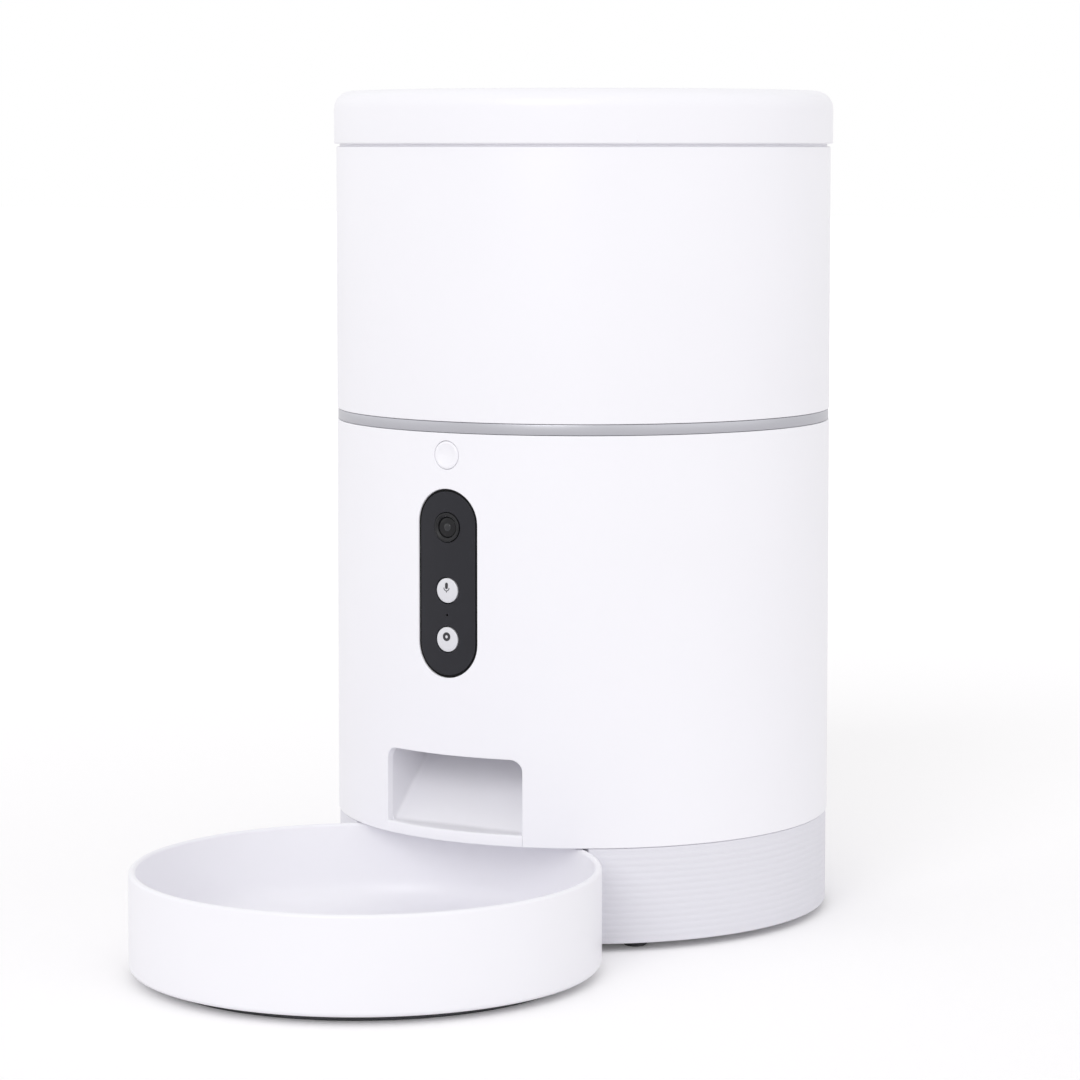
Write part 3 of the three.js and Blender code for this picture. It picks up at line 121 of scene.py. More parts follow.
def roughen(tree, shader, gloss, roughness, change, skin, strength, relief):
    """Lets one pattern vary a shader's roughness and another raise its surface, by relief in mm."""
    varied = add_node(
        tree, "ShaderNodeMapRange", {"To Min": roughness - change, "To Max": roughness + change},
        {"Value": gloss.outputs["Fac"]},
    )
    tree.links.new(varied.outputs["Result"], shader.inputs["Roughness"])
    raised = add_node(
        tree, "ShaderNodeBump", {"Strength": strength, "Distance": relief * MM},
        {"Height": skin.outputs["Fac"]},
    )
    tree.links.new(raised.outputs["Normal"], shader.inputs["Normal"])


def moulded(name, code, roughness, grain=1.2, relief=0.004, ior=1.54, mirror=0.5, coat=0):
    """Injection-moulded plastic: the mould's spark-eroded skin leaves an even grain, in mm, and the
    melt's flow leaves slow changes of gloss and tone."""
    flow_size = 1000 / 18
    material, tree, shader = new_material(name)
    shader.inputs["IOR"].default_value = ior
    shader.inputs["Specular IOR Level"].default_value = mirror
    shader.inputs["Coat Weight"].default_value = coat
    colour = colour_of(code)
    darker = [c * 0.97 for c in colour[:3]] + [1]
    place = add_node(tree, "ShaderNodeTexCoord").outputs["Object"]
    flow = add_node(
        tree, "ShaderNodeTexNoise", {"Scale": 1 / (flow_size * MM), "Detail": 2}, {"Vector": place}
    )
    tone = add_node(
        tree, "ShaderNodeMix", {"data_type": "RGBA", 6: colour, 7: darker}, {0: flow.outputs["Fac"]}
    )
    tree.links.new(tone.outputs[2], shader.inputs["Base Color"])
    skin = add_node(
        tree, "ShaderNodeTexNoise", {"Scale": 1 / (grain * MM), "Detail": 1}, {"Vector": place}
    )
    roughen(tree, shader, flow, roughness, 0.04, skin, 0.5, relief)
    return material


def upright(x, y):
    """Places a turned shape with its axis upright at (x, y)."""
    return Matrix.Translation((x, y, 0))


def level(z, way=1):
    """Places a turned shape with its axis level, its heights counted forward from the tower's axis,
    or back where the way is -1."""
    return Matrix.Translation((0, tower_y, z)) @ Matrix.Rotation(way * pi / 2, 4, "X")


tower_axis = upright(0, tower_y)
bowl_axis = upright(0, bowl_y)
inlet_axis = level(inlet_z, -1)


def rounded(corners, steps=5):
    """Rounds those corners of a closed outline that are given as (x, y, radius), not as (x, y)."""
    points = []
    for i, (x, y, *asked) in enumerate(corners):
        if not asked:
            points.append((x, y))
            continue
        corner = Vector((x, y))
        before = Vector(corners[i - 1][:2]) - corner
        after = Vector(corners[(i + 1) % len(corners)][:2]) - corner
        half = before.angle(after) / 2
        reach = min(asked[0] / tan(half), before.length * 0.49, after.length * 0.49)
        radius = reach * tan(half)
        way = (before.normalized() + after.normalized()).normalized()
        middle = corner + way * radius / sin(half)
        start = corner + before.normalized() * reach - middle
        end = corner + after.normalized() * reach - middle
        turn = start.angle_signed(end)
        for k in range(steps + 1):
            points.append(tuple(middle + Matrix.Rotation(-turn * k / steps, 2) @ start))
    return points


def made(name, mesh):
    """Links a new object that holds a bmesh's faces, all facing out."""
    bmesh.ops.recalc_face_normals(mesh, faces=mesh.faces)
    data = bpy.data.meshes.new(name)
    mesh.to_mesh(data)
    mesh.free()
    return linked(name, data)


def around(items):
    """Each item of a closed row with the one after it."""
    return zip(items, items[1:] + items[:1])


def turned(name, corners, place=tower_axis, sides=192, sweep=None, steps=5):
    """Turns a closed outline of (radius, height), its corners rounded where they say so, about an
    axis; points at radius zero lie on it. With a sweep it turns from one angle to another and
    closes both ends."""
    mesh = bmesh.new()
    first, last = sweep or (0, 2 * pi)
    rings = []
    for radius, height in rounded(corners, steps):
        count = 1 if radius == 0 else sides + 1 if sweep else sides
        angles = [first + (last - first) * i / sides for i in range(count)]
        spots = [Vector((radius * cos(a), radius * sin(a), height)) for a in angles]
        rings.append([mesh.verts.new(place @ spot) for spot in spots])
    for low, high in around(rings):
        for i in range(sides):
            j = i + 1
            ends = [low[i % len(low)], low[j % len(low)], high[j % len(high)], high[i % len(high)]]
            face = list(dict.fromkeys(ends))
            if len(face) > 2:
                mesh.faces.new(face)
    if sweep:
        mesh.faces.new([ring[0] for ring in rings])
        mesh.faces.new([ring[-1] for ring in reversed(rings)])
    return made(name, mesh)


def rod(name, radius, low, high, place=tower_axis, sides=192):
    """A plain round tool between two heights of its axis."""
    return turned(name, [(0, low), (radius, low), (radius, high), (0, high)], place, sides)


def settle(piece):
    """Makes what a piece's modifiers give its own plain mesh."""
    bpy.context.view_layer.update()
    shaped = piece.evaluated_get(bpy.context.evaluated_depsgraph_get())
    mesh = bpy.data.meshes.new_from_object(shaped)
    piece.modifiers.clear()
    piece.data = mesh


def carve(piece, tool, operation="DIFFERENCE"):
    """Cuts a piece with a tool shape, or joins them, removes the tool and welds the cut's edges."""
    step = piece.modifiers.new(operation, "BOOLEAN")
    step.operation = operation
    step.object = tool
    settle(piece)
    bpy.data.objects.remove(tool)
    mesh = bmesh.new()
    mesh.from_mesh(piece.data)
    bmesh.ops.remove_doubles(mesh, verts=mesh.verts, dist=weld)
    mesh.to_mesh(piece.data)
    mesh.free()


def dress(piece, material, slot, body, *nodes, sharp=35):
    """Shades a piece smooth between its sharp edges, unless it has its own shading, coats it and
    gives it its place in the frame."""
    if not piece.data.has_custom_normals:
        piece.data.shade_smooth()
        piece.data.set_sharp_from_angle(angle=radians(sharp))
    piece.data.materials.clear()
    piece.data.materials.append(material)
    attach(piece, body)
    if nodes:
        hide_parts(*nodes)


# Light grey ABS with a matt mould skin, a little lavender in tone beside the white body
grey_abs = moulded("matt light grey ABS", "e3e2e9", 0.55, grain=0.9, relief=0.006)

wall_radius = skirt_radius - rib_relief
skirt = turned(
    "base_skirt",
    [
        (skirt_radius - skirt_wall, skirt_low.z), (skirt_radius, skirt_low.z, full),
        (skirt_radius, skirt_low.z + rib_pitch / 2, crisp),
        (wall_radius, skirt_low.z + rib_pitch / 2),
        (wall_radius, skirt_top - rib_pitch / 2), (skirt_radius, skirt_top - rib_pitch / 2, crisp),
        (skirt_radius, skirt_top, soft), (skirt_radius - skirt_wall, skirt_top),
    ],
)
recess_outer = recess_radius + recess_wall
block = rod("recess_block", recess_outer, skirt_low.z, skirt_high.z, bowl_axis)
within = turned(
    "recess_limit",
    [
        (0, skirt_low.z - MM), (wall_radius - MM, skirt_low.z - MM),
        (wall_radius - MM, skirt_top), (inner_fit, skirt_top),
        (inner_fit, skirt_high.z + MM), (0, skirt_high.z + MM),
    ],
)
carve(block, within, "INTERSECT")
carve(skirt, block, "UNION")
carve(skirt, rod("bowl_room", recess_radius, 0, skirt_high.z - recess_roof, bowl_axis))
hole_from, hole_to = skirt_radius - 2 * skirt_wall, skirt_radius + MM
carve(skirt, rod("inlet_room", inlet_hole, hole_from, hole_to, inlet_axis, 48))
dress(skirt, grey_abs, "grey_base", "tower", "base_ring", sharp=30)


def inputs_for(tree, **kinds):
    """Gives a tree its named inputs and its one geometry output, and returns what they feed in."""
    for label, kind in kinds.items():
        tree.interface.new_socket(label, in_out="INPUT", socket_type=f"NodeSocket{kind}")
    tree.interface.new_socket("Geometry", in_out="OUTPUT", socket_type="NodeSocketGeometry")
    return add_node(tree, "NodeGroupInput").outputs


def finish_tree(tree, geometry, material):
    """Ends a tree in real geometry with its material set."""
    real = add_node(tree, "GeometryNodeRealizeInstances", links={"Geometry": geometry})
    coated = add_node(
        tree, "GeometryNodeSetMaterial", links={"Geometry": real.outputs[0], "Material": material}
    )
    add_node(tree, "NodeGroupOutput", links={"Geometry": coated.outputs[0]})


def grown(name, tree, **values):
    """Runs a tree on an empty mesh with the values given and keeps the result as a plain mesh."""
    piece = linked(name, bpy.data.meshes.new(name))
    modifier = piece.modifiers.new(name, "NODES")
    modifier.node_group = tree
    for socket in tree.interface.items_tree:
        if socket.in_out == "INPUT":
            modifier[socket.identifier] = values[socket.name]
    settle(piece)
    return piece


# The ribs: one arc with a rounded section, repeated up the wall
ribs_tree = bpy.data.node_groups.new("level ribs", "GeometryNodeTree")
given = inputs_for(
    ribs_tree, Radius="Float", Start="Float", Sweep="Float", Width="Float", Relief="Float",
    Count="Int", Pitch="Float", First="Vector", Material="Material",
)
sweep = add_node(
    ribs_tree, "GeometryNodeCurveArc", {"mode": "RADIUS", "Resolution": 240},
    {"Radius": given["Radius"], "Start Angle": given["Start"], "Sweep Angle": given["Sweep"]},
)
section = add_node(
    ribs_tree, "GeometryNodeCurvePrimitiveQuadrilateral",
    links={"Width": given["Relief"], "Height": given["Width"]},
)
softened = add_node(
    ribs_tree, "GeometryNodeFilletCurve", {"mode": "POLY", "Count": 3, "Radius": rib_relief * 0.8},
    {"Curve": section.outputs[0]},
)
rib = add_node(
    ribs_tree, "GeometryNodeCurveToMesh", {"Fill Caps": True},
    {"Curve": sweep.outputs[0], "Profile Curve": softened.outputs[0]},
)
step_up = add_node(ribs_tree, "ShaderNodeCombineXYZ", links={"Z": given["Pitch"]})
heights = add_node(
    ribs_tree, "GeometryNodeMeshLine",
    links={"Count": given["Count"], "Start Location": given["First"], "Offset": step_up.outputs[0]},
)
stacked = add_node(
    ribs_tree, "GeometryNodeInstanceOnPoints",
    links={"Points": heights.outputs[0], "Instance": rib.outputs[0]},
)
finish_tree(ribs_tree, stacked.outputs[0], given["Material"])

# They run round from one side of the recess to the other and end just short of it
reach = bowl_y - tower_y
edge_cosine = (skirt_radius**2 + reach**2 - recess_radius**2) / (2 * skirt_radius * -reach)
open_half = acos(edge_cosine) + rib_end_gap / skirt_radius
rib_count = int((skirt_top - skirt_low.z - rib_pitch) / rib_pitch)
spare = skirt_top - skirt_low.z - rib_count * rib_pitch
ribs = grown(
    "base_ribs", ribs_tree, Radius=wall_radius, Start=-pi / 2 + open_half,
    Sweep=2 * pi - 2 * open_half, Width=rib_width, Relief=rib_relief * 2, Count=rib_count,
    Pitch=rib_pitch, First=(0, tower_y, skirt_low.z + spare / 2 + rib_pitch / 2), Material=grey_abs,
)
# A smooth round pad is left free of them about the power inlet
pad_from, pad_to = skirt_radius - MM, skirt_radius + MM
carve(ribs, rod("inlet_pad", inlet_pad, pad_from, pad_to, inlet_axis, 64))
dress(ribs, grey_abs, "grey_base", "tower", sharp=60)


# Underside
# A flat ABS plate closes the base. It holds the battery door, which slides back to unlatch, the
# four screws deep in their counterbores, and four glued rubber feet.
def recoat(material, *names):
    """Gives CAD nodes that stay their real material."""
    for name in names:
        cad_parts[name].material_slots[0].material = material


recoat(grey_abs, "bottom_plate", "battery_door")

# Dark grey thermoplastic rubber, dull and a little dusty
dark_rubber = moulded("moulded grey rubber", "56575a", 0.82, grain=0.5, relief=0.02, ior=1.5)
foot_low, foot_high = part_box("rubber_foot_1")
foot_radius = (foot_high.x - foot_low.x) / 2
foot_taper = 2.2 * MM
for i in range(1, 5):
    foot = turned(
        f"foot_pad_{i}",
        [
            (0, 0), (foot_radius - foot_taper, 0, 0.6 * MM),
            (foot_radius, foot_taper, 0.8 * MM), (foot_radius, foot_high.z),
            (0, foot_high.z),
        ],
        upright(*centre_of(f"rubber_foot_{i}")[:2]), 64,
    )
    dress(foot, dark_rubber, "rubber_dark", "tower", f"rubber_foot_{i}")


def metal(name, code, roughness, streak, across, relief=0.003):
    """Bare or plated metal; streaks of one size in mm lie across the axes with a larger one."""
    material, tree, shader = new_material(name)
    shader.inputs["Base Color"].default_value = colour_of(code)
    shader.inputs["Metallic"].default_value = 1
    place = add_node(tree, "ShaderNodeTexCoord").outputs["Object"]
    scale = [1 / (size * MM) for size in (*across, streak)]
    drawn = add_node(tree, "ShaderNodeMapping", {"Scale": scale}, {"Vector": place})
    lines = add_node(
        tree, "ShaderNodeTexNoise", {"Scale": 1, "Detail": 3}, {"Vector": drawn.outputs[0]}
    )
    roughen(tree, shader, lines, roughness, 0.08, lines, 0.4, relief)
    return material


# Zinc-plated steel: bright, with faint rolling marks
plated_steel = metal("zinc-plated steel", "b9bbbe", 0.32, 0.4, (3, 3))

# Pan-head screws: one head with a cross recess and its shank, repeated at every screw
screw_low, screw_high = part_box("base_screw_1")
head_radius = (screw_high.x - screw_low.x) / 2
head_height = 1.8 * MM
shank_radius = 1.3 * MM
shank_length = screw_high.z - screw_low.z - head_height
one_screw = turned(
    "one_screw",
    [
        (0, -head_height), (head_radius * 0.85, -head_height, full),
        (head_radius, -head_height * 0.4, soft),
        (head_radius, 0, 0.1 * MM), (shank_radius, 0, crisp),
        (shank_radius, shank_length - shank_radius, crisp), (0, shank_length),
    ],
    upright(0, 0), 32, steps=3,
)
slot_half = head_radius * 0.6
slot_width = 0.45 * MM
slot_depth = head_height * 0.55
for length, width in ((slot_half, slot_width), (slot_width, slot_half)):
    mesh = bmesh.new()
    bmesh.ops.create_cube(mesh, size=2)
    bmesh.ops.scale(mesh, verts=mesh.verts, vec=(length, width, slot_depth))
    bmesh.ops.translate(mesh, verts=mesh.verts, vec=(0, 0, -head_height))
    carve(one_screw, made("cross_recess", mesh))

screws_tree = bpy.data.node_groups.new("screws in place", "GeometryNodeTree")
given = inputs_for(screws_tree, Screw="Object", Places="Object", Turn="Vector", Material="Material")
shape = add_node(screws_tree, "GeometryNodeObjectInfo", links={"Object": given["Screw"]})
spots = add_node(screws_tree, "GeometryNodeObjectInfo", links={"Object": given["Places"]})
set_in = add_node(
    screws_tree, "GeometryNodeInstanceOnPoints",
    links={"Points": spots.outputs["Geometry"], "Instance": shape.outputs["Geometry"],
           "Rotation": given["Turn"]},
)
finish_tree(screws_tree, set_in.outputs[0], given["Material"])

for name, body, nodes, head_down in (
    ("base_screw_set", "tower", [f"base_screw_{i}" for i in range(1, 5)], True),
    ("gearbox_screw_set", "tower", ["gearbox_screw_1", "gearbox_screw_2"], False),
    ("floor_screw_set", "tank", [f"tank_floor_screw_{i}" for i in range(1, 4)], True),
):
    mesh = bmesh.new()
    for node in nodes:
        low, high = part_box(node)
        seat = low.z + head_height if head_down else high.z - head_height
        mesh.verts.new((*centre_of(node)[:2], seat))
    marks = made("screw_marks", mesh)
    turn = (0 if head_down else pi, 0, 0)
    screws = grown(
        name, screws_tree, Screw=one_screw, Places=marks, Turn=turn, Material=plated_steel
    )
    bpy.data.objects.remove(marks)
    dress(screws, plated_steel, "steel", body, *nodes, sharp=40)
bpy.data.objects.remove(one_screw)


# Power inlet
# A round low-voltage socket in black nylon, pushed into the back of the skirt from inside, with a
# nickel-plated pin in its middle.
black_nylon = moulded("glossy black nylon", "1c1c1f", 0.32, grain=0.8, relief=0.003, ior=1.53)
inlet_low, inlet_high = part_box("power_inlet")
nose_radius = 4.3 * MM
bore_radius = 3 * MM
pin_radius = MM
socket_back = inlet_low.y - tower_y
shoulder = skirt_radius - skirt_wall - 0.5 * MM
socket_face = inlet_high.y - tower_y
bore_end = socket_face - 9 * MM
inlet = turned(
    "power_socket",
    [
        (0, socket_back), (inlet_high.x, socket_back, soft),
        (inlet_high.x, shoulder, soft), (nose_radius, shoulder),
        (nose_radius, socket_face, soft), (bore_radius, socket_face, soft),
        (bore_radius, bore_end), (0, bore_end),
    ],
    inlet_axis, 64,
)
dress(inlet, black_nylon, "black_gloss", "tower", "power_inlet")
nickel = metal("nickel-plated brass pin", "c9c6bd", 0.2, 0.3, (0.3, 2))
pin = turned(
    "power_pin",
    [
        (0, bore_end), (pin_radius, bore_end),
        (pin_radius, socket_face - 0.6 * MM, full), (0, socket_face - 0.4 * MM),
    ],
    inlet_axis, 32,
)
dress(pin, nickel, "steel", "tower")


# Lower body
# The white ABS wall round the drive: one moulding with the food outlet's mouth at its lower edge,
# the upright opening for the camera panel, a round hole for the feed button, and the slots of the
# speaker's grille at the back. Every edge has a small moulded radius.
white_abs = moulded("satin white ABS", "f5f4f9", 0.36, grain=1.4, relief=0.002)

shell_wall = 2.5 * MM
body_inside = body_radius - shell_wall
mouth_half = 29.9 * MM
mouth_top = skirt_top + 32.2 * MM
mouth_corner = 4.5 * MM
fascia_low, fascia_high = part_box("camera_fascia")
fascia_lap = 1.6 * MM
panel_gap = 0.3 * MM
opening_half = fascia_high.x - fascia_lap + panel_gap + 0.5 * MM
opening_low = fascia_low.z + fascia_lap - panel_gap
opening_high = fascia_high.z - fascia_lap + panel_gap
opening_middle = (opening_low + opening_high) / 2
feed_z = centre_of("feed_button")[2]
feed_hole = 5.3 * MM
speaker_z = centre_of("speaker")[2]
grille_radius = 14 * MM
grille_pitch = 4.4 * MM
grille_width = 1.8 * MM
grille_slots = 7


def slot_outline(x, z, width, height, steps=10):
    """An upright slot with round ends, or a circle where both sizes are alike, about (x, z)."""
    straight = (height - width) / 2
    points = []
    for centre, first in ((straight, 0), (-straight, pi)):
        for k in range(steps + 1 if straight > 0 else steps):
            a = first + pi * k / steps
            points.append((x + width / 2 * cos(a), z + centre + width / 2 * sin(a)))
    return points


def round_hole(z, radius, steps=28):
    """A round hole in the middle of the front."""
    return slot_outline(0, z, 2 * radius, 2 * radius, steps)


def panel_outline(inset, steps=32):
    """The outline of the camera panel's opening, set in by so much."""
    width, height = 2 * (opening_half - inset), opening_high - opening_low - 2 * inset
    return slot_outline(0, opening_middle, width, height, steps)


def on_wall(outline, radius=body_radius):
    """Lays an outline, seen from the front, along a round wall, the lower body's by default."""
    return [(radius * asin(x / radius), z) for x, z in outline]


def inside(point, outline):
    """Whether a flat point lies within a closed outline."""
    x, z = point
    found = False
    for (x0, z0), (x1, z1) in around(outline):
        if (z0 > z) != (z1 > z) and x < (x1 - x0) * (z - z0) / (z1 - z0) + x0:
            found = not found
    return found


def set_back(outline, depth):
    """Moves a closed outline inwards by so much, or outwards by a depth below zero."""
    if sum(a.cross(b) for a, b in around(outline)) < 0:
        depth = -depth
    moved = []
    for i, point in enumerate(outline):
        first = (point - outline[i - 1]).normalized()
        second = (outline[(i + 1) % len(outline)] - point).normalized()
        inward = Vector((-first.y - second.y, first.x + second.x)) / (1 + first.dot(second))
        moved.append(point + inward * depth)
    return moved


def middle_of(face, spots):
    """The mean of a flat face's corners."""
    return sum((spots[i] for i in face), Vector((0, 0))) / len(face)


def filled(outer, holes, pitch):
    """Fills a flat outline round its holes, in upright strips; gives its points and its faces."""
    flat, lines = [], []
    for outline in (outer, *holes):
        lines += around([*range(len(flat), len(flat) + len(outline))])
        flat += outline
    left, right = min(p.x for p in outer), max(p.x for p in outer)
    bottom, top = min(p.y for p in outer), max(p.y for p in outer)
    strips = max(2, round((right - left) / pitch))
    for k in range(1, strips):
        x = left + (right - left) * k / strips
        flat += [Vector((x, bottom)), Vector((x, top))]
        lines.append((len(flat) - 2, len(flat) - 1))
    spots, _, faces = delaunay_2d_cdt(flat, lines, [], 0, 1e-8)[:3]
    kept = []
    for face in faces:
        middle = middle_of(face, spots)
        if inside(middle, outer) and not any(inside(middle, hole) for hole in holes):
            kept.append(face)
    return spots, kept


def bent_wall(name, border, openings, radius, thickness, lip, pitch, ring=False):
    """A wall of the tower with openings, facing front. Its outlines are seen from the front, or lie
    along the wall where it is a ring. It is filled flat, given rounded lips and its thickness, and
    bent round the tower's axis."""
    outlines = [border, *openings]
    if not ring:
        outlines = [on_wall(outline, radius) for outline in outlines]
    outlines = [[Vector(point) for point in outline] for outline in outlines]
    outer = set_back(outlines[0], lip)
    holes = [set_back(outline, -lip) for outline in outlines[1:]]
    ends = []
    if ring:
        ends = [limit(point.x for point in outlines[0]) for limit in (min, max)]
        for old, new in zip(outlines[0], outer):
            new.x = old.x if old.x in ends else new.x
    spots, faces = filled(outer, holes, pitch)
    owners = {}
    for face in faces:
        for a, b in around(face):
            owners.setdefault(frozenset((a, b)), []).append(face)
    joined = {i for i, spot in enumerate(spots) if spot.x in ends}
    rim = [tuple(edge) for edge, both in owners.items() if len(both) == 1 and not edge <= joined]
    outward = {}
    for a, b in rim:
        run = (spots[b] - spots[a]).normalized()
        normal = Vector((run.y, -run.x))
        if normal.dot(spots[a] - middle_of(owners[frozenset((a, b))][0], spots)) < 0:
            normal = -normal
        for i in (a, b):
            outward.setdefault(i, []).append(normal)
    mesh = bmesh.new()

    def bend(point, depth):
        angle = point.x / radius
        r = radius - depth
        return mesh.verts.new((r * sin(angle), tower_y - r * cos(angle), point.y))

    front = {i: bend(spots[i], 0) for i in dict.fromkeys(i for face in faces for i in face)}
    back = {i: bend(spots[i], thickness) for i in front if i not in outward}
    rows = {}
    lip_steps = 4
    for i, normals in outward.items():
        first, last = normals[0], normals[-1]
        way = (first + last) / (1 + first.dot(last))
        rows[i] = [front[i]]
        for k in range(1, lip_steps + 1):
            turn = pi / 2 * k / lip_steps
            rows[i].append(bend(spots[i] + way * lip * sin(turn), lip * (1 - cos(turn))))
        back[i] = bend(spots[i] + way * lip, thickness)
        rows[i].append(back[i])
    for face in faces:
        mesh.faces.new([front[i] for i in face])
        mesh.faces.new([back[i] for i in reversed(face)])
    for a, b in rim:
        for k in range(lip_steps + 1):
            mesh.faces.new([rows[a][k], rows[b][k], rows[b][k + 1], rows[a][k + 1]])
    bmesh.ops.remove_doubles(mesh, verts=mesh.verts, dist=1e-7)
    wall = made(name, mesh)
    wall.data.shade_smooth()
    wall.data.set_sharp_from_angle(angle=radians(50))
    even = wall.modifiers.new("even shading", "WEIGHTED_NORMAL")
    even.keep_sharp = True
    settle(wall)
    return wall


# The wall is laid out flat, from its left side round the front and the back to the left again
quarter = pi / 2 * body_radius
mouth = rounded(
    [
        (-mouth_half, shell_bottom),
        (-mouth_half, mouth_top, mouth_corner), (mouth_half, mouth_top, mouth_corner),
        (mouth_half, shell_bottom),
    ],
    8,
)
wall_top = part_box("trim_band")[0].z - seam
border = [(-quarter, shell_bottom), *on_wall(mouth), (3 * quarter, shell_bottom)]
border += [(3 * quarter, wall_top), (-quarter, wall_top)]
openings = [on_wall(panel_outline(0, 24)), on_wall(round_hole(feed_z, feed_hole, 20))]
for k in range(grille_slots):
    x = (k - (grille_slots - 1) / 2) * grille_pitch
    height = 2 * sqrt(grille_radius**2 - x**2)
    cut = on_wall(slot_outline(x, speaker_z, grille_width, height, 8))
    openings.append([(2 * quarter + along, z) for along, z in cut])
lower_body = bent_wall(
    "lower_body_wall", border, openings, body_radius,
    thickness=shell_wall, lip=soft, pitch=2.5 * MM, ring=True,
)
dress(lower_body, white_abs, "white_shell", "tower", "lower_shell")

# A braced ledge inside carries the chassis plate
ledge_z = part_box("chassis_plate")[0].z - 0.3 * MM
ledge_tip = body_inside - 2.6 * MM
ledge_root = body_inside + 0.3 * MM
ledge = turned(
    "chassis_ledge",
    [
        (ledge_tip, ledge_z), (ledge_tip, ledge_z - 2.5 * MM),
        (ledge_root, ledge_z - 5.4 * MM), (ledge_root, ledge_z),
    ],
)
dress(ledge, white_abs, "white_shell", "tower")


# Food chute
# A white ABS duct behind the mouth: it takes a portion from the hole in the tank's floor, turns it
# forward down a ramp and lets it out over the bowl. Its edges are rounded so that no food stays in
# it. A sill on its front closes the wall under the mouth.
chute_low, chute_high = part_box("food_chute")
duct_wall = 1.8 * MM
duct_half = mouth_half * body_inside / body_radius
duct_corner = 1.5 * MM
floor_front = chute_low.z + duct_wall
drop_back, drop_front = 26 * MM, 58 * MM
ramp_top = chute_high.z - 42 * MM
hood_top = chute_high.z - 55 * MM
apron_reach = sqrt(body_inside**2 - duct_half**2) - 1.2 * MM
hood_reach = 88 * MM
apron_bend = 3 * MM
ramp_bend = 9 * MM
hood_bend = 7 * MM
# The floor's and the ceiling's lines, as distance in front of the tower's axis and height
floor_line = rounded(
    [
        (body_inside, floor_front), (apron_reach, floor_front, apron_bend),
        (drop_back, ramp_top, ramp_bend), (drop_back, chute_high.z),
    ]
)
ceiling_line = rounded(
    [
        (body_inside, mouth_top), (hood_reach, mouth_top, hood_bend),
        (drop_front, hood_top, hood_bend), (drop_front, chute_high.z),
    ]
)
mesh = bmesh.new()
rings = []
for low, high in zip(floor_line, ceiling_line):
    low, high = Vector(low), Vector(high)
    tall = (high - low).length
    corners = [(-duct_half, 0, duct_corner), (duct_half, 0, duct_corner)]
    corners += [(duct_half, tall, mouth_corner), (-duct_half, tall, mouth_corner)]
    rings.append([])
    for x, along in rounded(corners):
        reach, z = low + (high - low) * (along / tall)
        rings[-1].append(mesh.verts.new((x, tower_y - reach, z)))
for first, second in zip(rings, rings[1:]):
    for (a, b), (c, d) in zip(around(first), around(second)):
        mesh.faces.new([a, b, d, c])
chute = made("chute_duct", mesh)
walls = chute.modifiers.new("wall", "SOLIDIFY")
walls.thickness = duct_wall
walls.offset = 1
settle(chute)
# Its front end is cut to the round of the wall that it stands against
carve(chute, rod("round_fit", body_inside, 0, chute_high.z + MM, sides=384), "INTERSECT")
dress(chute, white_abs, "white_shell", "tower", "food_chute", sharp=40)
sill_half = asin(mouth_half / body_radius)
sill = turned(
    "chute_sill",
    [
        (body_inside, shell_bottom, fine), (body_radius, shell_bottom, soft),
        (body_radius, floor_front, 0.8 * MM), (body_inside, floor_front),
    ],
    sides=48,
    sweep=(-pi / 2 - sill_half, -pi / 2 + sill_half),
    steps=4,
)
dress(sill, white_abs, "white_shell", "tower", sharp=40)


# Inside the lower body
# Nothing here shows when the feeder is together: the chassis plate and gearbox in grey ABS, nylon
# gears on a steel axle, a small motor, two circuit boards, the speaker, and the battery bay.
mid_grey_abs = moulded("matt mid grey ABS", "8f9297", 0.55, grain=1.0, relief=0.006)
natural_nylon = moulded("natural nylon", "e9e4d2", 0.42, grain=2.0, relief=0.002, ior=1.53)
recoat(mid_grey_abs, "chassis_plate", "gearbox_case", "gearbox_cover", "battery_box", "speaker")
recoat(natural_nylon, "output_gear", "idler_gear")
recoat(plated_steel, "idler_axle", "drive_motor", "motor_pinion")
recoat(plated_steel, "battery_contact_front", "battery_contact_rear")

# Glass laminate under green solder mask, with copper tracks showing through as a lighter green
board = moulded("green solder mask", "1f5a3a", 0.35, grain=0.6, relief=0.004, ior=1.5)
track_size = 6
tree = board.node_tree
place = add_node(tree, "ShaderNodeTexCoord").outputs["Object"]
tracks = add_node(
    tree, "ShaderNodeTexBrick",
    {"Scale": 1 / (track_size * MM), "Mortar Size": 0.06, "Color1": colour_of("1f5a3a"),
     "Color2": colour_of("1b5135"), "Mortar": colour_of("3c7d55")},
    {"Vector": place},
)
tree.links.new(tracks.outputs["Color"], tree.nodes["Principled BSDF"].inputs["Base Color"])
recoat(board, "main_board", "panel_board")

# Plain lacquered jacket on each cell, dark with a copper-coloured shoulder at its positive end
jacket = moulded("lacquered cell jacket", "3f4247", 0.3, grain=3, relief=0.002, ior=1.5)
tree = jacket.node_tree
place = add_node(tree, "ShaderNodeTexCoord").outputs["Object"]
split = add_node(tree, "ShaderNodeSeparateXYZ", links={"Vector": place})
cell_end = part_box("battery_cell_1")[1].y
band = add_node(
    tree, "ShaderNodeMapRange",
    {"interpolation_type": "STEPPED", "Steps": 1, "From Min": cell_end - 15 * MM,
     "From Max": cell_end - 14.5 * MM},
    {"Value": split.outputs["Y"]},
)
paint = add_node(
    tree, "ShaderNodeMix", {"data_type": "RGBA", 6: colour_of("3f4247"), 7: colour_of("b4713f")},
    {0: band.outputs["Result"]},
)
tree.links.new(paint.outputs[2], tree.nodes["Principled BSDF"].inputs["Base Color"])
recoat(jacket, "battery_cell_1", "battery_cell_2", "battery_cell_3")


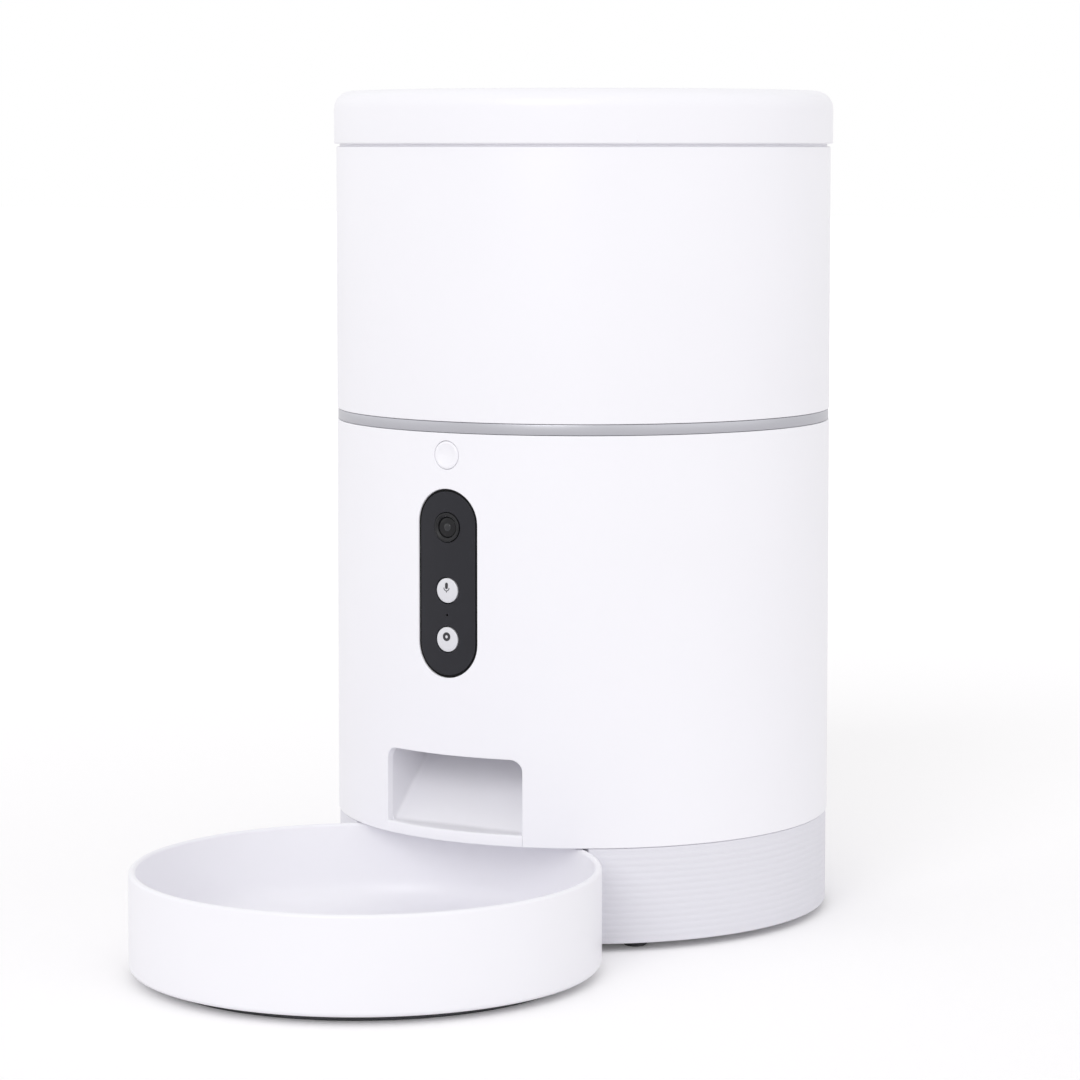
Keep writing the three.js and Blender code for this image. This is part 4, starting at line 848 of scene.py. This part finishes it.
# Seat ring and bright band
# The grey deck that the tank stands on drops into the top of the lower body, and its rim carries
# the band: a plated ABS hoop, brushed round its length, that fills the seam under the tank.
band_low, band_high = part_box("trim_band")
seat_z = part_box("tank_seat_ring")[0].z
seat_hole = 72.4 * MM
deck_z = shell_high.z - 0.3 * MM
rim_outer = body_radius - 1.2 * MM
rim_inner = rim_outer - 2.7 * MM
deck = turned(
    "tank_deck",
    [
        (seat_hole, seat_z, fine), (inner_fit, seat_z, fine),
        (inner_fit, band_low.z), (rim_outer, band_low.z),
        (rim_outer, band_high.z, fine), (rim_inner, band_high.z, full),
        (rim_inner, deck_z, 0.6 * MM), (seat_hole, deck_z, full),
    ],
)
dress(deck, mid_grey_abs, "grey_plastic", "tower", "tank_seat_ring")

brushed_band = metal("brushed plated hoop", "bcbcc2", 0.34, 0.25, (30, 30), relief=0.004)
hoop_inner = rim_outer + 0.1 * MM
hoop = turned(
    "bright_hoop",
    [
        (hoop_inner, band_low.z), (band_high.x, band_low.z, crisp),
        (band_high.x, band_high.z, crisp), (hoop_inner, band_high.z),
    ],
    sides=256, steps=3,
)
dress(hoop, brushed_band, "bright_band", "tower", "trim_band")


# Food tank
# The white upper body: a straight ABS wall with a thin lip that the lid closes over and a braced
# ledge inside for the hopper. The place on its front where a mark would go is bare and smooth.
tank_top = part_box("food_tank")[1].z
hopper_low, hopper_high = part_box("food_hopper")
tank_bottom = band_high.z + seam
lip_radius = body_inside + 1.2 * MM
shoulder_z = tank_top - 8 * MM
ledge_top = hopper_high.z - 3.3 * MM
ledge_tip = body_inside - 2.4 * MM
tank = turned(
    "tank_wall",
    [
        (body_inside, tank_bottom, fine), (body_radius, tank_bottom, soft),
        (body_radius, shoulder_z, 0.8 * MM), (lip_radius, shoulder_z, fine),
        (lip_radius, tank_top, full), (body_inside, tank_top, full),
        (body_inside, ledge_top), (ledge_tip, ledge_top, crisp),
        (ledge_tip, ledge_top - 2 * MM, crisp), (body_inside, ledge_top - 4.4 * MM),
    ],
    sides=256,
)
dress(tank, white_abs, "white_shell", "tank", "food_tank")


# Hopper, floor and baffle
# A funnel in natural white ABS hangs in the tank and narrows to the cup that the rotor turns in. A
# floor is screwed to it from below, with one hole at the front for the portions, under a baffle.
natural_abs = moulded("natural white ABS", "e8e8ec", 0.45, grain=1.2, relief=0.004)
cup_radius = body_radius - 33 * MM
cup_wall = 2 * MM
funnel_wall = 2.2 * MM
funnel_low = hopper_low.z + 46.5 * MM
funnel_drop = funnel_wall * sqrt(2)
rim_radius = hopper_high.x
rim_inside = rim_radius - funnel_wall
rim_under = hopper_high.z - 3 * MM
under_rim = body_inside - 2.7 * MM
hopper = turned(
    "hopper_funnel",
    [
        (cup_radius, hopper_low.z, fine), (cup_radius + cup_wall, hopper_low.z, fine),
        (cup_radius + cup_wall, funnel_low + cup_wall - funnel_drop, 3 * MM),
        (under_rim, funnel_low + under_rim - cup_radius - funnel_drop, full),
        (under_rim, rim_under), (rim_radius, rim_under, fine),
        (rim_radius, hopper_high.z, soft), (rim_inside, hopper_high.z - 1.1 * MM, full),
        (rim_inside, funnel_low + rim_inside - cup_radius, 3 * MM),
        (cup_radius, funnel_low, 4 * MM),
    ],
)
dress(hopper, natural_abs, "inner_plastic", "tank", "food_hopper")
recoat(natural_abs, "tank_floor", "portion_baffle")
# Blind bosses beside the cup take the floor's screws
boss_radius = 4 * MM
boss_top = hopper_low.z + 16 * MM
pilot_radius = 1.7 * MM
pilot_top = boss_top - 4 * MM
for i in range(1, 4):
    boss = turned(
        f"hopper_boss_{i}",
        [
            (0, pilot_top), (pilot_radius, pilot_top),
            (pilot_radius, hopper_low.z, crisp), (boss_radius, hopper_low.z, fine),
            (boss_radius, boss_top, 0.8 * MM), (0, boss_top),
        ],
        upright(*centre_of(f"tank_floor_screw_{i}")[:2]), 32,
    )
    dress(boss, natural_abs, "inner_plastic", "tank")


# Portion rotor and stirrer
# Six soft vanes of milky silicone round a hub carry equal portions to the hole; a grey ABS stirrer
# on top, with three raised fingers, keeps the food from bridging in the funnel.
milky_silicone = moulded("milky silicone", "e2e4e8", 0.5, grain=1.5, relief=0.004, ior=1.41)
recoat(milky_silicone, "portion_rotor")
recoat(mid_grey_abs, "stirrer")


# Lid
# A white ABS cover with a soft rounded edge, overhanging the tank, and a snapped-in liner whose
# plug carries a silicone seal. It stands just above the tank's shoulder, with a fine dark line.
cover_low, cover_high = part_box("lid_cover")
lid_radius = cover_high.x - 0.9 * MM
lid_inner = lid_radius - shell_wall
lid_edge = 6.8 * MM
lid = turned(
    "lid_top",
    [
        (0, cover_high.z - shell_wall),
        (lid_inner, cover_high.z - shell_wall, lid_edge - shell_wall),
        (lid_inner, cover_low.z, soft), (lid_radius, cover_low.z, 0.7 * MM),
        (lid_radius, cover_high.z, lid_edge), (0, cover_high.z),
    ],
    sides=256, steps=10,
)
dress(lid, white_abs, "white_shell", "lid", "lid_cover")
# A small raised mark on the lid's lower edge shows how it is turned on the tank
mark_turn = radians(43.7)
mark_z = cover_low.z + 1.8 * MM
mark_width, mark_height = 0.9 * MM, 2.1 * MM
mark_outline = [
    (lid_radius * sin(along / lid_radius), z)
    for along, z in slot_outline(lid_radius * mark_turn, mark_z, mark_width, mark_height, 6)
]
mark = bent_wall(
    "lid_mark", mark_outline, [], lid_radius + 0.2 * MM,
    thickness=0.6 * MM, lip=0.15 * MM, pitch=0.4 * MM,
)
dress(mark, white_abs, "white_shell", "lid")

liner_low, liner_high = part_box("lid_liner")
liner_z = tank_top + 0.3 * MM
liner_radius = lid_inner - 0.3 * MM
plug_radius = body_inside - 1.6 * MM
plug_inside = plug_radius - 2.5 * MM
groove_low = liner_low.z + 2 * MM
groove_high = groove_low + 3.4 * MM
liner = turned(
    "lid_plug",
    [
        (0, liner_z), (plug_inside, liner_z, MM),
        (plug_inside, liner_low.z, 0.6 * MM), (plug_radius, liner_low.z, 0.8 * MM),
        (plug_radius, groove_low), (plug_radius - MM, groove_low),
        (plug_radius - MM, groove_high), (plug_radius, groove_high),
        (plug_radius, liner_z), (liner_radius, liner_z, fine),
        (liner_radius, liner_high.z, fine), (0, liner_high.z),
    ],
)
dress(liner, natural_abs, "inner_plastic", "lid", "lid_liner")
seal_low, seal_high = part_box("lid_seal")
seal_root = plug_radius - 0.7 * MM
seal = turned(
    "lid_seal_ring",
    [
        (seal_root, seal_low.z, fine),
        (seal_high.x, centre_of("lid_seal")[2], full),
        (seal_root, seal_high.z, fine),
    ],
)
dress(seal, milky_silicone, "silicone_clear", "lid", "lid_seal")

# Desiccant box under the liner, with its slotted cover and the pack inside
dry_low, dry_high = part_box("desiccant_box")
dry_wall = 1.6 * MM
dry_inner = dry_high.x - dry_wall
dry_roof = dry_high.z - dry_wall
dry_box = turned(
    "dry_box",
    [
        (0, dry_roof), (dry_inner, dry_roof, MM),
        (dry_inner, dry_low.z, fine), (dry_high.x, dry_low.z, fine),
        (dry_high.x, dry_high.z, soft), (0, dry_high.z),
    ],
    sides=96,
)
dress(dry_box, natural_abs, "inner_plastic", "lid", "desiccant_box")
recoat(mid_grey_abs, "desiccant_cover")
recoat(milky_silicone, "desiccant_cartridge")


# Camera panel
# A black polycarbonate fascia with round ends, nearly flush in the white wall. Round openings in
# it hold the lens and the two buttons, with the microphone's small hole between these.
black_panel = moulded(
    "black polycarbonate", "2a2a2f", 0.3, grain=1.0, relief=0.002, ior=1.58, mirror=0.16
)
panel_radius = body_radius - 0.4 * MM
ring_low, ring_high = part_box("lens_ring")
ring_radius = ring_high.x
button_radius = 4.6 * MM
hole_gap = 0.4 * MM
lens_z, record_z, play_z, mic_z = (
    centre_of(node)[2] for node in ("lens_ring", "record_button", "play_button", "microphone")
)
lens_axis = level(lens_z)
panel_openings = [
    round_hole(lens_z, ring_radius + hole_gap / 2),
    round_hole(record_z, button_radius + hole_gap),
    round_hole(play_z, button_radius + hole_gap),
    round_hole(mic_z, 0.4 * MM, 10),
]
gasket_width = 0.9 * MM
gasket_gap = 0.1 * MM
panel = bent_wall(
    "camera_panel", panel_outline(gasket_width), panel_openings, panel_radius,
    thickness=3 * MM, lip=0.25 * MM, pitch=1.2 * MM,
)
dress(panel, black_panel, "black_gloss", "tower", "camera_fascia")
# The thin soft gasket that fills the gap round it; its near-black colour is partly the gasket's own
# dark rubber and partly painted shade, standing for the dark shadow line of that gap
gasket = bent_wall(
    "panel_gasket", panel_outline(gasket_gap), [panel_outline(gasket_width - gasket_gap)],
    panel_radius - 0.2 * MM, thickness=2 * MM, lip=0.2 * MM, pitch=1.2 * MM,
)
# Near-black deepened as painted shade for the shadow line round the panel
gasket_black_and_gap_shade = moulded("near-black gasket rubber with painted gap shade", "0b0b0c", 0.7, grain=0.4, relief=0.004, mirror=0.2)
dress(gasket, gasket_black_and_gap_shade, "black_gloss", "tower")

# Lens: a satin black bezel with a stepped cone inside, and a coated cover glass set back in it
black_satin = moulded("satin black ABS", "18181b", 0.45, grain=0.8, relief=0.003, mirror=0.3)
glass_low, glass_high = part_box("lens_window")
bezel_front = tower_y - ring_low.y
bezel_back = tower_y - ring_high.y
glass_front = tower_y - glass_low.y
glass_radius = glass_high.x
glass_seat = glass_radius - 0.9 * MM
cone_radius = glass_radius + 0.3 * MM
bezel = turned(
    "lens_bezel",
    [
        (glass_seat, bezel_back), (ring_radius, bezel_back),
        (ring_radius, bezel_front, 0.35 * MM), (ring_radius - 0.7 * MM, bezel_front, crisp),
        (cone_radius, bezel_front - 0.5 * MM, 0.1 * MM),
        (cone_radius, glass_front - 0.6 * MM), (glass_seat, glass_front - 1.6 * MM),
    ],
    lens_axis, 96,
)
dress(bezel, black_satin, "black_gloss", "tower", "lens_ring")

# Cover glass, smoke-black from outside and with an anti-reflection layer, so it mirrors little
cover_glass = moulded(
    "coated smoke-black glass", "0d0d11", 0.07, grain=5, relief=0, ior=1.52, mirror=0.32
)
glass_edge = 0.15 * MM
glass_back = glass_front - 1.2 * MM
window = turned(
    "cover_glass",
    [
        (0, glass_back), (glass_radius, glass_back, glass_edge),
        (glass_radius, glass_front - 0.2 * MM, glass_edge), (0, glass_front),
    ],
    lens_axis, 64,
)
dress(window, cover_glass, "lens_glass", "tower", "lens_window")
recoat(black_satin, "camera_module")

# The front element's dark convex eye stands in the middle of the cover
dark_eye = moulded("coated front element", "0e1016", 0.08, grain=3, relief=0, ior=1.6)
eye_radius = 1.5 * MM
eye_crown = 0.3 * MM
eye_back = glass_front - 0.5 * MM
eye_edge = glass_front - 0.1 * MM
eye_steps = 8
eye_outline = [(0, eye_back), (eye_radius, eye_back)]
for k in range(eye_steps):
    turn = pi / 2 * k / eye_steps
    eye_outline.append((eye_radius * cos(turn), eye_edge + eye_crown * sin(turn)))
eye_outline.append((0, eye_edge + eye_crown))
eye = turned("camera_eye", eye_outline, lens_axis, 48)
dress(eye, dark_eye, "lens_glass", "tower", sharp=60)
recoat(dark_rubber, "microphone")

# Buttons: pearl-painted caps, a little domed, each with a plain printed sign above its middle
pearl_paint = moulded(
    "pearl silver paint", "dddde2", 0.34, grain=0.25, relief=0.003, mirror=0.6, coat=0.2
)
stem_radius = 1.5 * MM
flange_front = body_radius - 5 * MM
cap_shoulder = 0.8 * MM
cap_steps = 8


def button_cap(name, node, radius, dish):
    """A round cap with its flange and its stem, facing front; its face is dished by so much, or
    crowned where the dish is below zero."""
    low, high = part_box(node)
    back = tower_y - high.y
    edge = tower_y - low.y + min(dish, 0)
    face_radius = radius - cap_shoulder
    outline = [
        (0, back), (stem_radius, back),
        (stem_radius, flange_front), (radius, flange_front),
        (radius, edge - 0.25 * MM, fine), (face_radius, edge, soft),
    ]
    for k in range(1, cap_steps + 1):
        out = 1 - k / cap_steps
        outline.append((face_radius * out, edge - dish * (1 - out**2)))
    return turned(name, outline, level(centre_of(node)[2]), 96)


for use in ("record", "play"):
    cap = button_cap(f"{use}_cap", f"{use}_button", button_radius, -0.25 * MM)
    dress(cap, pearl_paint, "button_pearl", f"{use}_button", f"{use}_button")

# Feed button: white like the body, its face flush and slightly dished inside a raised edge
feed_cap = button_cap("feed_cap", "feed_button", 5.15 * MM, 0.9 * MM)
dress(feed_cap, white_abs, "white_shell", "feed_button", "feed_button")

# Signs in dark ink, thick enough to be solid: a microphone on the record button, a ring on the
# play button
dark_ink = moulded("dark printed ink", "2a2a2e", 0.5, grain=0.4, relief=0.001)
sign = 1.4 * MM
sign_lift = 1.05 * MM
cap_front = tower_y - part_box("record_button")[0].y
ink_front, ink_back = cap_front + 0.03 * MM, cap_front - 0.2 * MM
capsule = slot_outline(0, 0.5 * sign, 0.85 * sign, 1.7 * sign)
stem_ends = ((-0.12, -1.25), (0.12, -1.25), (0.12, -0.85), (-0.12, -0.85))
stem = [(x * sign, z * sign) for x, z in stem_ends]
under = [pi + pi * k / 16 for k in range(17)]
cradle = [
    (size * sign * cos(a), size * sign * sin(a))
    for size, angles in ((0.92, under), (0.7, under[::-1]))
    for a in angles
]
mesh = bmesh.new()
for outline in (capsule, cradle, stem):
    near, far = (
        [mesh.verts.new((x, tower_y - depth, record_z + sign_lift + z)) for x, z in outline]
        for depth in (ink_front, ink_back)
    )
    mesh.faces.new(near)
    mesh.faces.new(far[::-1])
    for (a, b), (c, d) in zip(around(near), around(far)):
        mesh.faces.new([b, a, c, d])
dress(made("record_sign", mesh), dark_ink, "black_gloss", "record_button")
inner, outer = 0.4 * sign, 1.15 * sign
play_sign = turned(
    "play_sign",
    [(inner, ink_back), (outer, ink_back), (outer, ink_front), (inner, ink_front)],
    level(play_z + sign_lift), 48,
)
dress(play_sign, dark_ink, "black_gloss", "play_button")


# Bowl
# A round white bowl, ABS moulded with a thick rolled rim, tucked under the front of the tower. A
# rubber ring in a groove under it keeps it from sliding.
bowl_wall = 2.6 * MM
bowl_taper = 2 * MM
bowl_floor = bowl_low.z + 3 * MM
rim_bend = 1.25 * MM
grip_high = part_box("bowl_grip_ring")[1]
grip_outer = grip_high.x
grip_inner = grip_outer - 6 * MM
groove_top = bowl_low.z + 1.2 * MM
gap = 0.3 * MM
bowl = turned(
    "bowl_moulding",
    [
        (0, bowl_low.z), (grip_inner - gap, bowl_low.z, fine),
        (grip_inner - gap, groove_top), (grip_outer + gap, groove_top),
        (grip_outer + gap, bowl_low.z, fine), (bowl_radius, bowl_low.z, 2 * MM),
        (bowl_radius, bowl_high.z, rim_bend), (bowl_radius - bowl_wall, bowl_high.z, rim_bend),
        (bowl_radius - bowl_wall - bowl_taper, bowl_floor, 12 * MM), (0, bowl_floor),
    ],
    bowl_axis, 256, steps=8,
)
dress(bowl, white_abs, "white_shell", "bowl", "food_bowl")
grip = turned(
    "bowl_grip",
    [
        (grip_inner, 0, 0.6 * MM), (grip_outer, 0, 0.6 * MM),
        (grip_outer, grip_high.z, crisp), (grip_inner, grip_high.z, crisp),
    ],
    bowl_axis,
)
dress(grip, dark_rubber, "rubber_dark", "bowl", "bowl_grip_ring")


# Studio
# A white floor, a white surround that only the camera, gloss and glass see at full strength, and
# soft lamps at a plain level. The camera stands where the photograph's outlines put it.
for name, towards, power, spread in (
    ("soft key", (-0.25, 1, -0.55), 0.69, 30),
    ("right fill", (-1, 0, -0.7), 0.4, 90),
    ("left fill", (1, 0.3, -0.7), 0.3, 90),
):
    lamp = bpy.data.lights.new(name, "SUN")
    lamp.energy = power
    lamp.angle = radians(spread)
    source = linked(name, lamp)
    source.rotation_euler = Vector(towards).to_track_quat("-Z", "Y").to_euler()

world = bpy.data.worlds.new("white surround")
scene = bpy.context.scene
scene.world = world
world.use_nodes = True
tree = world.node_tree
sky = tree.nodes["Background"]
paths = add_node(tree, "ShaderNodeLightPath").outputs
shown = paths["Is Camera Ray"]
for ray in ("Is Glossy Ray", "Is Transmission Ray"):
    either = add_node(tree, "ShaderNodeMath", {"operation": "MAXIMUM"}, {0: shown, 1: paths[ray]})
    shown = either.outputs[0]
strength = add_node(tree, "ShaderNodeMapRange", {"To Min": 0.72, "To Max": 1.0}, {"Value": shown})
tree.links.new(strength.outputs["Result"], sky.inputs["Strength"])
sky.inputs["Color"].default_value = (1, 1, 1, 1)

# White paper; to the camera alone it fades into the white surround further out
floor_half = 12
mesh = bmesh.new()
bmesh.ops.create_grid(mesh, x_segments=1, y_segments=1, size=floor_half)
floor = made("studio_floor", mesh)
white_floor, tree, paper = new_material("white studio floor")
paper.inputs["Base Color"].default_value = colour_of("fbfafb")
paper.inputs["Roughness"].default_value = 0.9
paper.inputs["Specular IOR Level"].default_value = 0
paths = add_node(tree, "ShaderNodeLightPath").outputs
place = add_node(tree, "ShaderNodeTexCoord").outputs["Object"]
away = add_node(tree, "ShaderNodeVectorMath", {"operation": "LENGTH"}, {0: place})
haze = add_node(
    tree, "ShaderNodeMapRange", {"From Min": 0.3, "From Max": 2.5, "To Min": 0.08, "To Max": 0.2},
    {"Value": away.outputs["Value"]},
)
lit = add_node(
    tree, "ShaderNodeMath", {"operation": "MULTIPLY"},
    {0: haze.outputs[0], 1: paths["Is Camera Ray"]},
)
glow = add_node(tree, "ShaderNodeEmission", links={"Strength": lit.outputs[0]})
both = add_node(tree, "ShaderNodeAddShader", links={0: paper.outputs[0], 1: glow.outputs[0]})
tree.links.new(both.outputs[0], tree.nodes["Material Output"].inputs["Surface"])
floor.data.materials.append(white_floor)

camera_data = bpy.data.cameras.new("photo camera")
camera = linked("photo camera", camera_data)
distance = 1413.05 * MM
eye_height = 294.71 * MM
azimuth = radians(31.859)
pitch = radians(4.6209)
yaw = radians(-0.6772) - azimuth
camera.location = (distance * sin(azimuth), tower_y - distance * cos(azimuth), eye_height)
look = Vector((sin(yaw) * cos(pitch), cos(yaw) * cos(pitch), -sin(pitch)))
camera.rotation_euler = look.to_track_quat("-Z", "Y").to_euler()
camera_data.sensor_width = 36
camera_data.lens = 121.873
camera_data.shift_y = -100 / 1080
camera_data.clip_start = 0.05
camera_data.clip_end = 60
scene.camera = camera
scene.view_settings.view_transform = "Standard"
